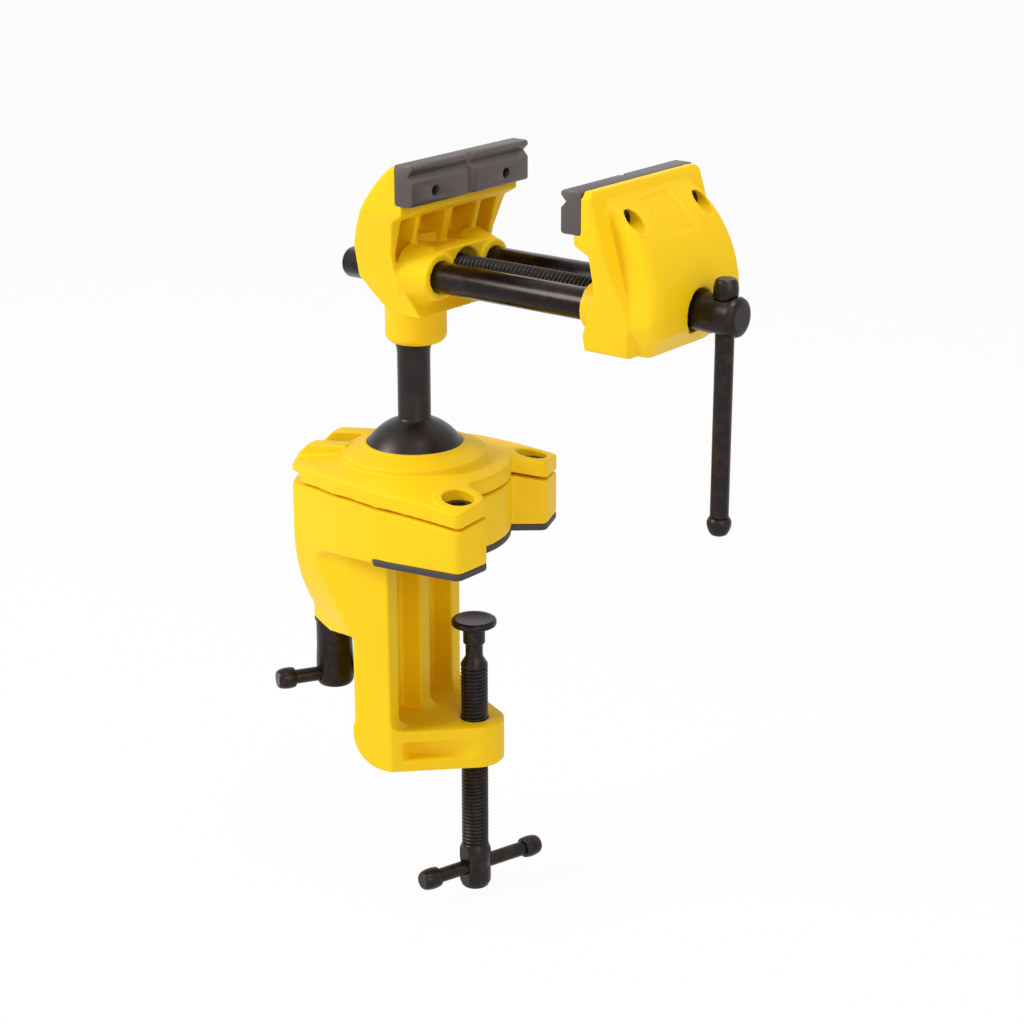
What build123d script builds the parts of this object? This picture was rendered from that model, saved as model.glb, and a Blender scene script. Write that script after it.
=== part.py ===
from build123d import *
from math import acos, atan2, cos, hypot, radians, sin, sqrt
import os

# Clamp-on bench vise with a ball joint. Millimetres and degrees, +Z up.
# The origin lies on the bench face of the pad, on the clamp screw's axis. +X points out of the
# clamp throat, along the frame's plane of symmetry. The head has its own frame: x along the
# guide rods from the post's axis, y across the jaws, z as in the frame of the part.

# ---- fits and clearances
running_gap = 0.05       # radial, shaft in bore
press_gap = 0.01         # radial, pin or insert held in a casting
screw_gap = 0.3          # radial, screw in a clearance hole
face_gap = 0.3           # between a seated piece and a curved face

# ---- clamp frame
ball_x = -28.0           # the ball's axis stands behind the clamp screw
pad_thickness = 3.0
frame_top = 21.0         # height of the frame's upper face over the bench, at the crown's radius
crown_radius = 64.0      # from the ball's axis out to the outer corners of the lugs
crown_slope = 0.19       # the clamp plate and the frame's upper face rise towards the ball
spine_width = 64.0
spine_front = -24.0
spine_thickness = 19.0
spine_round = 15.0
edge_round = 2.0
arm_top = -81.0
arm_thickness = 19.0
arm_nose_radius = 13.0
spine_edge_round = 3.0
channel_depth = 10.0
foot_round = 5.0         # between the arm's top and the spine, and in the channels' lower corners
flange_width = 8.0
rib_width = 8.0
slot_back_x = -20.0
slot_front_x = 8.0
slot_height = 8.0
slot_depth = 8.0         # at its back end; the floor comes up to the surface at the front end

# ---- web behind the spine, with the boss of the lock bolt
lock_x = -70.7
boss_radius = 8.6
boss_bottom = -46.0
web_foot_z = -39.5       # where the web's lower edge meets the spine
web_levels = ((-2.0, 0.0), (-12.0, 0.1), (-22.0, 0.33), (-31.0, 0.63), (-40.0, 1.0))
web_tail = ((0.6, 8.0), (3.8, 19.5))  # points of the web's outline under the block, from the tail
web_overhang = 0.5       # of the web over the block's hips
web_boss_angles = (170, 150, 128)
ledge_side_z = 1.5       # underside of the block beside the spine, at the block's side
ledge_fall = 3.0
ledge_foot = 3.0         # from the spine's side out to the foot of the ledge
ledge_cove = 4.5

# ---- plan of the clamp plate and of the frame's upper block
tail_radius = 52.4       # about the ball's axis
tail_half = 26.7
hip_x = -45.0
hip_half = 39.5
waist_x = -22.0
waist_half = 45.2
lug_outer_x = 17.5
lug_outer_half = 45.8
lug_end_x = 21.3
lug_inner_half = 27.0
lug_corner_radius = 3.5
lobe_radius = 41.0       # about the ball's axis, between the lugs
lobe_root_x = 8.0
tail_flat_z = 23.5       # flat of the frame's upper face around the lock bolt
tail_flat_radius = 12.0

# ---- clamp plate
plate_gap = 1.4
lug_thickness = 6.6
ring_radius = 31.0
ring_foot = 1.5          # the ring's wall spreads by this much at its foot
ring_edge_z = 37.7
ring_top = 41.5
opening_radius = 20.3
lug_hole_x = 10.7
lug_hole_half = 33.3
lug_boss_radius = 10.2
lug_boss_rise = 0.6
lug_bore_depth = 5.6
ear_width = 7.6
ear_top_z = 37.4
ear_rise = 1.9           # of the ears' upper edge, from the tail to the ring
ear_top_x = -73.0
ear_front_x = -54.0
lip_z = 30.2
lip_under_z = 29.0       # underside of the lip around the tail
lip_recess = 3.0
lip_end_x = -68.0
tail_thickness = 4.0

# ---- ball and post
ball_radius = 24.0
ball_fit = 0.06          # radial, ball in its seat and in the clamp plate
ball_relief = 0.4        # radial, ball over the frame's hollow
opening_relief = 0.4
seat_wall = 1.5          # the seat's outer radius over the ball's
seat_height = 9.0
seat_drop = 1.0          # the seat's top lies this far under the frame's top
post_radius = 7.0
neck_flare = 0.8
shoulder_radius = 8.3    # the head stands on the post's shoulder
shoulder_height = 4.5
groove_depth = 1.0
groove_width = 4.2
groove_rise = 10.0       # over the collar's lower end

# ---- plate screws, lock bolt and lock nut
plate_screw_radius = 3.0
plate_screw_head_radius = 6.4
plate_screw_head_height = 2.4
plate_screw_length = 18.0
tap_spare = 0.5          # of a tapped hole beyond its screw
socket_share = 0.5       # of a head, both across the flats and in depth
lock_bolt_radius = 4.0
lock_head_flats = 13.0
lock_head_height = 3.8
lock_washer_radius = 8.6
lock_washer_thickness = 1.6
lock_nut_radius = 8.0
lock_nut_length = 31.0
lock_nut_flare = 0.35
lock_nut_round = 2.5
lock_thread_depth = 18.0
lock_bar_drop = 25.5
lock_bar_radius = 3.2
lock_bar_length = 54.0
lock_knob_radius = 4.8
lock_knob_length = 8.0
lock_bar_yaw = 228.7

# ---- clamp screw and its pad
throat_at_rest = 35.0    # from the bench face down to the swivel pad
clamp_radius = 6.0
clamp_pitch = 1.75
thread_groove = 0.7
swivel_radius = 9.8
swivel_thickness = 4.2
swivel_lip = 1.1
swivel_collar_radius = 4.8
swivel_collar_height = 7.0
spigot_radius = 3.2
neck_radius = 3.8
neck_length = 6.5
neck_taper = 3.0
clamp_thread_length = 89.0
clamp_hub_radius = 6.8
clamp_hub_length = 22.0
clamp_hub_round = 3.2
clamp_bar_drop = 11.5
clamp_bar_radius = 3.2
clamp_bar_span = 63.0
clamp_bar_shift = 3.0
clamp_knob_radius = 4.8
clamp_knob_length = 8.5
clamp_bar_yaw = 62.6

# ---- head: rods, jaw plates and what both castings share
head_yaw = -10.5
rod_axis_z = 120.1
rod_radius = 6.35
rod_half = 17.7
rod_back_x = -18.2
rod_seat_depth = 20.0
rod_chamfer = 1.2
rod_boss_radius = 9.6
boss_reach = 7.6         # the moving jaw's rod bosses stand in front of its plate's back
jaw_width = 75.0
jaw_plate_rise = 31.4    # from the rods' axes up to the plates
jaw_plate_thickness = 8.9
jaw_plate_height = 16.5
jaw_groove_rise = 12.2
jaw_groove_height = 4.8
jaw_groove_depth = 2.3
cross_groove_width = 5.6
cross_groove_depth = 2.3
jaw_screw_half = 22.8
jaw_screw_rise = 4.9
jaw_screw_radius = 2.0
jaw_screw_head_radius = 3.4
jaw_screw_head_height = 4.0
jaw_screw_wall = 6.0     # casting between the plate and the screw's head
jaw_screw_engagement = 6.9
driver_radius = 4.0
jaw_face_x = 31.7        # working face of the fixed jaw
jaw_gap = 72.0           # between the two working faces at rest
foot_half = 26.5
floor_drop = 16.1        # from the rods' axes down to the castings' floors
ledge_height = 4.0
ledge_reach = 3.2
face_recess = 2.3
pocket_depth = 14.0
moving_pocket_depth = 9.8
pocket_head = 3.2        # from the ledge down to the pockets
pocket_foot = 10.4       # from the rods' axes up to the pockets
pocket_taper = 0.5       # the pockets draw in by this much at their foot
pocket_fall = 4.5        # the outer pockets' foot falls this far, to the rod sockets
fixed_pockets = ((2.2, 18.2), (20.6, 30.6))  # inner and outer edge of each pocket beside the middle rib
moving_pockets = ((2.2, 18.2), (20.6, 27.5))

# ---- fixed jaw
fixed_top_lip = 1.3
fixed_back_depth = 26.3  # from the plate's back to the casting's back
fixed_bulge_depth = 19.1
fixed_bulge_rise = 28.0
fixed_back_rise = 12.0
fixed_heel_depth = 26.8
fixed_heel_drop = 1.6
fixed_toe_depth = 13.8
foot_reach = 3.2
foot_lip = 6.5
foot_lean = 3.5
foot_blend = 16.0
face_slope = 3.6         # the front face leans back by this much at the pockets' foot
web_reach = 6.0          # the shelf between the rods, in front of the plate's back
socket_reach = 7.0       # the rod sockets, in front of the plate's back
socket_radius = 9.4
socket_spread = 4.0
collar_radius = 13.0
collar_shift = 1.5       # the collar is cast off centre, towards the jaws
collar_length = 18.5
collar_round = 4.0
collar_rise = 30.0       # the post's boss runs this far up the casting
nut_radius = 9.0
nut_length = 20.0
post_cover = 3.0         # casting between the post and the nut
set_screw_radius = 2.5
set_screw_point = 1.8
hex_key_flats = 2.5

# ---- moving jaw, measured back from its plate
flange_top_thickness = 4.5
flange_foot_thickness = 15.0
moving_foot_reach = 5.6
hump_half = 30.0
hump_top_drop = 3.0
hump_top_depth = 3.0
hump_bulge_depth = 23.3
hump_bulge_rise = 26.9
hump_back_depth = 30.2
hump_back_rise = 1.9
hump_heel_depth = 29.5
hump_heel_drop = 6.1
hump_floor_depth = 20.0
hump_side_cut = 9.0
hump_side_rise = 14.0
hump_round = 5.0
hub_hole_radius = 8.8
hub_seat_depth = 20.4
clip_seat_depth = 1.0

# ---- main screw
screw_radius = 6.0
screw_pitch = 2.0
screw_back_x = -2.0
journal_gap = 0.3
hub_radius = 8.0
hub_back_radius = 6.9    # the hub widens from its washer to the handle
hub_length = 26.5
hub_round = 2.4
hub_washer_thickness = 1.5
clip_radius = 8.5
clip_thickness = 1.2
clip_groove_depth = 0.8
clip_side_gap = 0.1
handle_inset = 7.5       # from the hub's end to the handle's axis
handle_radius = 3.7
handle_length = 102.0
handle_knob_radius = 4.9
handle_knob_length = 8.0

# ---- worked out from the values above
spine_back = spine_front - spine_thickness
spine_half = spine_width / 2
arm_bottom = arm_top - arm_thickness
tail_x = ball_x - tail_radius
lobe_root_half = sqrt(lobe_radius ** 2 - (lobe_root_x - ball_x) ** 2)
crown_rise = crown_slope * crown_radius
plate_bottom = frame_top + plate_gap
lug_top = plate_bottom + lug_thickness
lug_hole_radius = hypot(lug_hole_x - ball_x, lug_hole_half)
lug_boss_top = lug_top + lug_boss_rise + crown_slope * (crown_radius - lug_hole_radius)
lug_bore_radius = plate_screw_head_radius + screw_gap
plate_flat_z = tail_flat_z + plate_gap
ear_floor = plate_flat_z + tail_thickness
ear_inner = lock_head_flats / 2 + 0.4
ear_outer = ear_inner + ear_width
ball_z = ring_top - sqrt(ball_radius ** 2 - opening_radius ** 2)
seat_top = frame_top - seat_drop
seat_radius = ball_radius + seat_wall
lock_nut_top = boss_bottom - lock_washer_thickness
lock_nut_bottom = lock_nut_top - lock_nut_length
lock_bar_z = lock_nut_top - lock_bar_drop
swivel_bottom = -throat_at_rest - swivel_thickness
clamp_collar_bottom = swivel_bottom - swivel_collar_height
clamp_thread_top = clamp_collar_bottom - neck_length - neck_taper
clamp_hub_top = clamp_thread_top - clamp_thread_length + neck_taper
clamp_hub_bottom = clamp_hub_top - clamp_hub_length
clamp_bar_z = clamp_hub_top - clamp_bar_drop
jaw_plate_bottom = rod_axis_z + jaw_plate_rise
jaw_top = jaw_plate_bottom + jaw_plate_height
jaw_screw_z = jaw_plate_bottom + jaw_screw_rise
jaw_groove_z = jaw_plate_bottom + jaw_groove_rise
ledge_z = jaw_plate_bottom - ledge_height
jaw_floor_z = rod_axis_z - floor_drop
pocket_top_z = ledge_z - pocket_head
pocket_bottom_z = rod_axis_z + pocket_foot
jaw_back_x = jaw_face_x - jaw_plate_thickness
fixed_front_x = jaw_back_x - face_recess
moving_face_x = jaw_face_x + jaw_gap
moving_back_x = moving_face_x + jaw_plate_thickness
moving_front_x = moving_back_x + face_recess
moving_boss_x = moving_back_x - boss_reach
rod_front_x = moving_boss_x + rod_seat_depth
rod_screw_x = moving_boss_x + rod_seat_depth * 0.6
hub_seat_x = moving_back_x + hub_seat_depth
hub_front_x = hub_seat_x + hub_washer_thickness
hub_end_x = hub_front_x + hub_length
handle_x = hub_end_x - handle_inset
hub_spot_radius = sqrt(hub_radius ** 2 - handle_knob_radius ** 2)
clip_x = moving_front_x + clip_seat_depth - clip_side_gap - clip_thickness
collar_bottom = jaw_floor_z - collar_length
groove_z = collar_bottom + groove_rise
post_top = rod_axis_z - nut_radius - post_cover
head_place = Pos(ball_x, 0, 0) * Rot(0, 0, head_yaw)

os.makedirs("parts", exist_ok=True)


def save(name, shape):
    export_step(shape, "parts/" + name + ".step")


def pin_z(radius, bottom, top, x=0.0, y=0.0):
    return Pos(x, y, bottom) * Cylinder(radius, top - bottom, align=(Align.CENTER, Align.CENTER, Align.MIN))


def pin_x(radius, start, end, y, z):
    bar = Cylinder(radius, end - start, align=(Align.CENTER, Align.CENTER, Align.MIN))
    return Pos(start, y, z) * Rot(0, 90, 0) * bar


def block(x0, x1, y0, y1, z0, z1):
    return Pos(x0, y0, z0) * Box(x1 - x0, y1 - y0, z1 - z0, align=(Align.MIN, Align.MIN, Align.MIN))


def polygon(*points):
    return make_face(Polyline(*points, close=True))


def upright(face, bottom, top):
    return Pos(0, 0, bottom) * extrude(face, top - bottom)


def across(face, half):
    # A side view drawn in x and z, carried to both sides of the middle plane.
    return extrude(Plane.XZ * face, half, both=True)


def turned(*outline):
    # A half section drawn as radius and height, turned about z.
    return revolve(Plane.XZ * polygon(*outline), Axis.Z)


def both_sides(shape):
    return shape + mirror(shape, Plane.XZ)


def hex_socket(flats, depth):
    return extrude(RegularPolygon(flats / 2, 6, major_radius=False), depth)


def ring_grooves(radius, start, end, pitch, depth):
    # Thread drawn as V grooves about z, one at each pitch.
    cutters = Part()
    half_mouth = pitch * 0.36
    for turn in range(int((end - start) / pitch)):
        middle = start + (turn + 0.5) * pitch
        cutter = turned((radius - depth, 0), (radius + 0.2, half_mouth), (radius + 0.2, -half_mouth))
        cutters += Pos(0, 0, middle) * cutter
    return cutters


def barrel(bar_radius, radius, length):
    # Barrel end of a handle bar, standing on z = 0, with a blind bore for the bar.
    soft = 0.18 * length
    body = turned((0, 0), (radius - soft, 0), (radius, soft), (radius, length - soft),
                  (radius - soft, length), (0, length))
    return body - pin_z(bar_radius + press_gap, -1, 0.75 * length)


def bar_with_knobs(bar_radius, span, radius, length):
    # A bar along z about the origin, and the two barrels pressed on its ends.
    half = span / 2
    bar_half = half - 0.25 * length - press_gap
    end = barrel(bar_radius, radius, length)
    lower = Pos(0, 0, length - half) * Rot(180, 0, 0) * end
    upper = Pos(0, 0, half - length) * end
    return pin_z(bar_radius, -bar_half, bar_half), Compound([lower.solid(), upper.solid()])


def cap_screw(radius, head_radius, head_height, length):
    # Socket cap screw: underside of the head on z = 0, shank down.
    socket = hex_socket(2 * head_radius * socket_share, head_height)
    return pin_z(radius, -length, 0) + pin_z(head_radius, 0, head_height) - \
        Pos(0, 0, head_height * (1 - socket_share)) * socket


# ---- base

def plan_outline():
    # Plan shared by the clamp plate and the frame: a round tail, two lugs and a lobe between them.
    corner_x = ball_x - sqrt(tail_radius ** 2 - tail_half ** 2)
    side = [(corner_x, tail_half), (hip_x, hip_half), (waist_x, waist_half),
            (lug_outer_x, lug_outer_half), (lug_end_x, lug_inner_half), (lobe_root_x, lobe_root_half)]
    body = polygon(*side, *[(x, -y) for x, y in reversed(side)])
    body = fillet([v for v in body.vertices() if v.X > lug_outer_x - 1], lug_corner_radius)
    tail = Pos(ball_x, 0) * Circle(tail_radius)
    tail &= Pos(corner_x, 0) * Rectangle(tail_radius, 2 * tail_half, align=(Align.MAX, Align.CENTER))
    lobe = Pos(ball_x, 0) * Circle(lobe_radius)
    width = 2 * lobe_root_half + 1
    lobe &= Pos(ball_x, 0) * Rectangle(2 * lobe_radius, width, align=(Align.MIN, Align.CENTER))
    return Sketch() + body + tail + lobe


def crown(edge_z, bottom):
    # Everything under a cone about the ball's axis. The cone has the height edge_z at the crown's radius.
    reach = 1.5 * crown_radius
    cone = turned((0, bottom), (reach, bottom), (reach, edge_z - 0.5 * crown_rise), (0, edge_z + crown_rise))
    return Pos(ball_x, 0, 0) * cone


def front_plan(front_x):
    # The part of the plan that lies in front of front_x.
    width = 4 * lug_outer_half
    return plan_outline() & Pos(front_x, 0) * Rectangle(width, width, align=(Align.MIN, Align.CENTER))


def block_sides():
    # Cross section that the frame keeps to behind the throat: the spine's width, and a coved
    # ledge under the block.
    low = arm_bottom - 1
    side = [(spine_half, low), (spine_half, ledge_side_z - ledge_fall - ledge_cove),
            (spine_half + ledge_foot, ledge_side_z - ledge_fall), (lug_outer_half, ledge_side_z),
            (lug_outer_half + 1, ledge_side_z), (lug_outer_half + 1, frame_top + crown_rise)]
    section = polygon(*side, *[(-y, z) for y, z in reversed(side)])
    return Pos(tail_x - 1, 0, 0) * extrude(Plane.YZ * section, spine_front - tail_x + 1)


def web_section(share):
    # Plan of the web, between the block's outline (share 0) and the boss of the lock bolt (share 1).
    corner_x = ball_x - sqrt(tail_radius ** 2 - tail_half ** 2)
    hip = hip_half + web_overhang
    wide = [(tail_x + x, y) for x, y in web_tail]
    wide += [(corner_x, tail_half), (spine_back, hip), (spine_back + 2, hip)]
    turns = [radians(angle) for angle in web_boss_angles]
    narrow = [(lock_x + boss_radius * cos(turn), boss_radius * sin(turn)) for turn in turns]
    narrow += [(spine_back, spine_half), (spine_back + 2, spine_half)]
    side = [(a[0] + share * (b[0] - a[0]), a[1] + share * (b[1] - a[1])) for a, b in zip(wide, narrow)]
    return polygon(*side, *[(x, -y) for x, y in reversed(side)])


def web():
    # Funnel from the block's tail down to the boss, behind the spine.
    levels = [Pos(0, 0, z) * web_section(share) for z, share in web_levels]
    funnel = loft(Sketch() + levels, ruled=True)
    boss_edge = lock_x + boss_radius
    foot = polygon((tail_x - 1, web_levels[0][0]), (tail_x - 1, boss_bottom), (boss_edge, boss_bottom),
                   (spine_back + 2, web_foot_z), (spine_back + 2, web_levels[0][0]))
    last = web_levels[-1][0]
    return (funnel + upright(web_section(1), boss_bottom - 1, last)) & across(foot, crown_radius)


def arm():
    # Lower arm, tapered in plan along the tangents of its round nose.
    reach = -spine_front
    chord = hypot(reach, spine_half)
    angle = radians(180) - atan2(spine_half, reach) - acos(arm_nose_radius / chord)
    nose = (arm_nose_radius * cos(angle), arm_nose_radius * sin(angle))
    plan = polygon((spine_back, -spine_half), (spine_front, -spine_half), (nose[0], -nose[1]), nose,
                   (spine_front, spine_half), (spine_back, spine_half))
    solid = upright(plan, arm_bottom, arm_top) + pin_z(arm_nose_radius, arm_bottom, arm_top)
    foot_front = spine_front + foot_round
    foot = block(spine_front, foot_front, -spine_half, spine_half, arm_top, arm_top + foot_round)
    hollow = Rot(90, 0, 0) * Cylinder(foot_round, 2 * spine_width)
    foot -= Pos(foot_front, 0, arm_top + foot_round) * hollow
    solid += foot & upright(plan, arm_top, arm_top + foot_round)
    run = (nose[1] - spine_half) / (nose[0] - spine_front)
    back_y = spine_half + run * (slot_back_x - spine_front)
    front_y = spine_half + run * (slot_front_x - spine_front)
    slot = polygon((slot_front_x, front_y), (slot_back_x, back_y + 2), (slot_back_x, back_y - slot_depth))
    middle = (arm_top + arm_bottom) / 2
    return solid - both_sides(upright(slot, middle - slot_height / 2, middle + slot_height / 2))


def spine():
    shape = block(spine_back, spine_front, -spine_half, spine_half, arm_bottom, pad_thickness)
    rear = [e for e in shape.edges().filter_by(Axis.Z) if e.center().X < spine_back + 1]
    shape = fillet(rear, spine_edge_round)
    outer = spine_half - flange_width
    front = spine_front + foot_round + 1
    channel = block(spine_front - channel_depth, front, rib_width / 2, outer, arm_top, pad_thickness)
    low = channel.edges().filter_by(Axis.X).group_by(Axis.Z)[0]
    return shape, both_sides(fillet(low.sort_by(Axis.Y)[-1], foot_round))


def clamp_frame():
    column, channels = spine()
    rear = plan_outline() - front_plan(spine_front)
    body = upright(plan_outline(), pad_thickness, frame_top + crown_rise)
    body += upright(rear, web_levels[0][0], pad_thickness) + web() + column
    body = (body & (block_sides() + front_space())) & crown(frame_top, arm_bottom - 1)
    body = body + arm() - channels
    corner = block(spine_back - 1, spine_back + spine_round, -spine_width, spine_width,
                   arm_bottom - 1, arm_bottom + spine_round)
    heel = Rot(90, 0, 0) * Cylinder(spine_round, 4 * spine_width)
    body -= corner - Pos(spine_back + spine_round, 0, arm_bottom + spine_round) * heel
    body -= pin_z(tail_flat_radius + face_gap, tail_flat_z, ear_floor, lock_x)
    body -= Pos(ball_x, 0, ball_z) * Sphere(ball_radius + ball_relief)
    body -= pin_z(seat_radius + running_gap, seat_top - seat_height, ball_z, ball_x)
    body -= pin_z(lock_bolt_radius + screw_gap, boss_bottom - 1, frame_top + crown_rise, lock_x)
    tap_bottom = lug_boss_top - lug_bore_depth - plate_screw_length - tap_spare
    tap = pin_z(plate_screw_radius + press_gap, tap_bottom, lug_top, lug_hole_x, lug_hole_half)
    body -= both_sides(tap)
    return body - pin_z(clamp_radius + running_gap, arm_bottom - 1, arm_top + 1)


def front_space():
    # Room in front of the throat's back, where the block keeps its whole plan.
    width = 2 * crown_radius
    return block(spine_front, width, -width, width, pad_thickness, frame_top + crown_rise)


def ear(side):
    # Ridge beside the lock bolt's head, from the sloping tail up to the ring.
    low = plate_bottom
    profile = polygon((tail_x, low), (tail_x, lip_z), (ear_top_x, ear_top_z),
                      (ear_front_x, ear_top_z + ear_rise), (ear_front_x, low))
    return Pos(0, side * (ear_outer + ear_inner) / 2, 0) * across(profile, ear_width / 2)


def lug_bores():
    seat = lug_boss_top - lug_bore_depth
    bore = pin_z(lug_bore_radius, seat, ring_top, lug_hole_x, lug_hole_half)
    return both_sides(bore + pin_z(plate_screw_radius + screw_gap, plate_bottom - 1, ring_top,
                                   lug_hole_x, lug_hole_half))


def tail_recess():
    # Under the lip the tail's end is set back.
    ring = pin_z(tail_radius + 2, plate_bottom - 2, lip_under_z, ball_x)
    ring -= pin_z(tail_radius - lip_recess, plate_bottom - 3, lip_under_z + 1, ball_x)
    half = lug_outer_half
    return ring & block(tail_x - 3, lip_end_x, -half, half, plate_bottom - 2, lip_under_z)


def clamp_plate():
    low = plate_bottom - crown_rise
    plan = upright(plan_outline(), low, ring_top)
    boss = pin_z(lug_boss_radius, low, ring_top, lug_hole_x, lug_hole_half)
    shell = (plan & crown(lug_top, low)) + (both_sides(boss) & plan & crown(lug_top + lug_boss_rise, low))
    foot = ring_radius + ring_foot
    shell += Pos(ball_x, 0, 0) * turned((0, low), (foot, low), (foot, lug_top), (ring_radius, ring_edge_z),
                                        (opening_radius, ring_top), (0, ring_top))
    shell += (ear(1) + ear(-1)) & plan
    shell -= crown(plate_bottom, low - 1)
    shell += pin_z(tail_flat_radius, plate_flat_z, ear_floor, lock_x) & plan
    shell -= tail_recess()
    shell -= block(tail_x - 1, lock_x + lock_head_flats, -ear_inner, ear_inner, ear_floor, ring_top)
    shell -= Pos(ball_x, 0, ball_z) * Sphere(ball_radius + ball_fit)
    shell -= pin_z(opening_radius + opening_relief, ring_edge_z, ring_top + 1, ball_x)
    return shell - lug_bores() - pin_z(lock_bolt_radius + screw_gap, plate_bottom, ring_top, lock_x)


def bench_pad():
    return upright(front_plan(spine_front + face_gap), 0, pad_thickness)


def plate_screws():
    screw = cap_screw(plate_screw_radius, plate_screw_head_radius, plate_screw_head_height,
                      plate_screw_length)
    seat = lug_boss_top - lug_bore_depth
    return Compound([(Pos(lug_hole_x, side * lug_hole_half, seat) * screw).solid() for side in (-1, 1)])


def lock_bolt():
    head = Pos(lock_x, 0, ear_floor) * hex_socket(lock_head_flats, lock_head_height)
    return head + pin_z(lock_bolt_radius, lock_nut_top - lock_thread_depth + 1, ear_floor, lock_x)


def lock_washer():
    ring = pin_z(lock_washer_radius, lock_nut_top, boss_bottom, lock_x)
    return ring - pin_z(lock_bolt_radius + screw_gap, lock_nut_top - 1, boss_bottom + 1, lock_x)


def lock_nut():
    wide = lock_nut_radius + lock_nut_flare
    soft = lock_nut_round
    flare_foot = lock_bar_z + 2 * lock_bar_radius
    flare_top = lock_bar_z + 4 * lock_bar_radius
    nut = turned((0, lock_nut_bottom), (wide - soft, lock_nut_bottom), (wide, lock_nut_bottom + soft),
                 (wide, flare_foot), (lock_nut_radius, flare_top), (lock_nut_radius, lock_nut_top),
                 (0, lock_nut_top))
    nut -= pin_z(lock_bolt_radius + running_gap, lock_nut_top - lock_thread_depth, lock_nut_top + 1)
    cross = Rot(0, 0, lock_bar_yaw) * pin_x(lock_bar_radius + running_gap, -2 * wide, 2 * wide, 0, 0)
    return Pos(lock_x, 0, 0) * (nut - Pos(0, 0, lock_bar_z) * cross)


def lock_handle():
    bar, knobs = bar_with_knobs(lock_bar_radius, lock_bar_length, lock_knob_radius, lock_knob_length)
    place = Pos(lock_x, 0, lock_bar_z) * Rot(0, 0, lock_bar_yaw) * Rot(0, 90, 0)
    return place * bar, place * knobs


def swivel_pad():
    top = -throat_at_rest
    neck = swivel_collar_radius + 1.2
    rim = swivel_radius
    disc = turned((0, swivel_bottom), (neck, swivel_bottom), (rim, swivel_bottom + 1.5 * swivel_lip),
                  (rim, top - swivel_lip), (rim - 0.4 * swivel_lip, top), (0, top))
    collar = pin_z(swivel_collar_radius, clamp_collar_bottom, swivel_bottom)
    bore = pin_z(spigot_radius + running_gap, clamp_collar_bottom - 1, swivel_bottom + 0.1)
    return disc + collar - bore


def clamp_screw():
    # Spigot in the pad's collar, neck, thread and the hub for the bar.
    soft = clamp_hub_round
    shape = turned((0, clamp_hub_bottom), (clamp_hub_radius - soft, clamp_hub_bottom),
                   (clamp_hub_radius, clamp_hub_bottom + soft), (clamp_hub_radius, clamp_hub_top - soft),
                   (clamp_radius, clamp_hub_top), (clamp_radius, clamp_thread_top),
                   (neck_radius, clamp_thread_top + neck_taper), (neck_radius, clamp_collar_bottom),
                   (spigot_radius, clamp_collar_bottom), (spigot_radius, swivel_bottom), (0, swivel_bottom))
    reach = 2 * clamp_hub_radius
    cross = Rot(0, 0, clamp_bar_yaw) * pin_x(clamp_bar_radius + running_gap, -reach, reach, 0, 0)
    shape -= Pos(0, 0, clamp_bar_z) * cross
    low = clamp_hub_top + 1
    return shape - ring_grooves(clamp_radius, low, clamp_thread_top, 2 * clamp_pitch, thread_groove)


def clamp_handle():
    bar, knobs = bar_with_knobs(clamp_bar_radius, clamp_bar_span, clamp_knob_radius, clamp_knob_length)
    place = Pos(0, 0, clamp_bar_z) * Rot(0, 0, clamp_bar_yaw) * Pos(clamp_bar_shift, 0, 0) * Rot(0, 90, 0)
    return place * bar, place * knobs


def ball_seat():
    ring = pin_z(seat_radius, seat_top - seat_height, seat_top, ball_x)
    return ring - Pos(ball_x, 0, ball_z) * Sphere(ball_radius + ball_fit)


# ---- head

def ball_post():
    root_radius = post_radius + neck_flare
    root = ball_z + sqrt(ball_radius ** 2 - root_radius ** 2)
    neck = Pos(0, 0, root) * Cone(root_radius, post_radius, 1.6 * neck_flare,
                                  align=(Align.CENTER, Align.CENTER, Align.MIN))
    post = Pos(0, 0, ball_z) * Sphere(ball_radius) + neck + pin_z(post_radius, ball_z, post_top)
    post += Pos(0, 0, collar_bottom) * Cone(post_radius, shoulder_radius, shoulder_height,
                                            align=(Align.CENTER, Align.CENTER, Align.MAX))
    half = groove_width / 2
    groove = pin_z(post_radius + 1, groove_z - half, groove_z + half)
    groove -= pin_z(post_radius - groove_depth, groove_z - groove_width, groove_z + groove_width)
    return head_place * (post - groove)


def side_tapers(x0, x1):
    # Wedges that take a jaw from its full width at the plates to its narrow foot.
    half = jaw_width / 2
    slope = (half - foot_half) / (ledge_z - jaw_floor_z)
    low = jaw_floor_z - 10
    low_half = half - slope * (ledge_z - low)
    wedge = polygon((half, ledge_z), (2 * half, ledge_z), (2 * half, low), (low_half, low))
    return both_sides(Pos(x0, 0, 0) * extrude(Plane.YZ * wedge, x1 - x0))


def jaw_pockets(x0, x1, spans):
    # Four lightening pockets below the jaw plate, two wide and two narrow, drawn in towards the foot.
    pockets = Part()
    for near, far in spans:
        foot = pocket_bottom_z - (pocket_fall if near > rod_half else 0)
        face = polygon((near, pocket_top_z), (far, pocket_top_z), (far - pocket_taper, foot),
                       (near, pocket_bottom_z))
        pockets += both_sides(Pos(x0, 0, 0) * extrude(Plane.YZ * face, x1 - x0))
    return pockets


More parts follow.
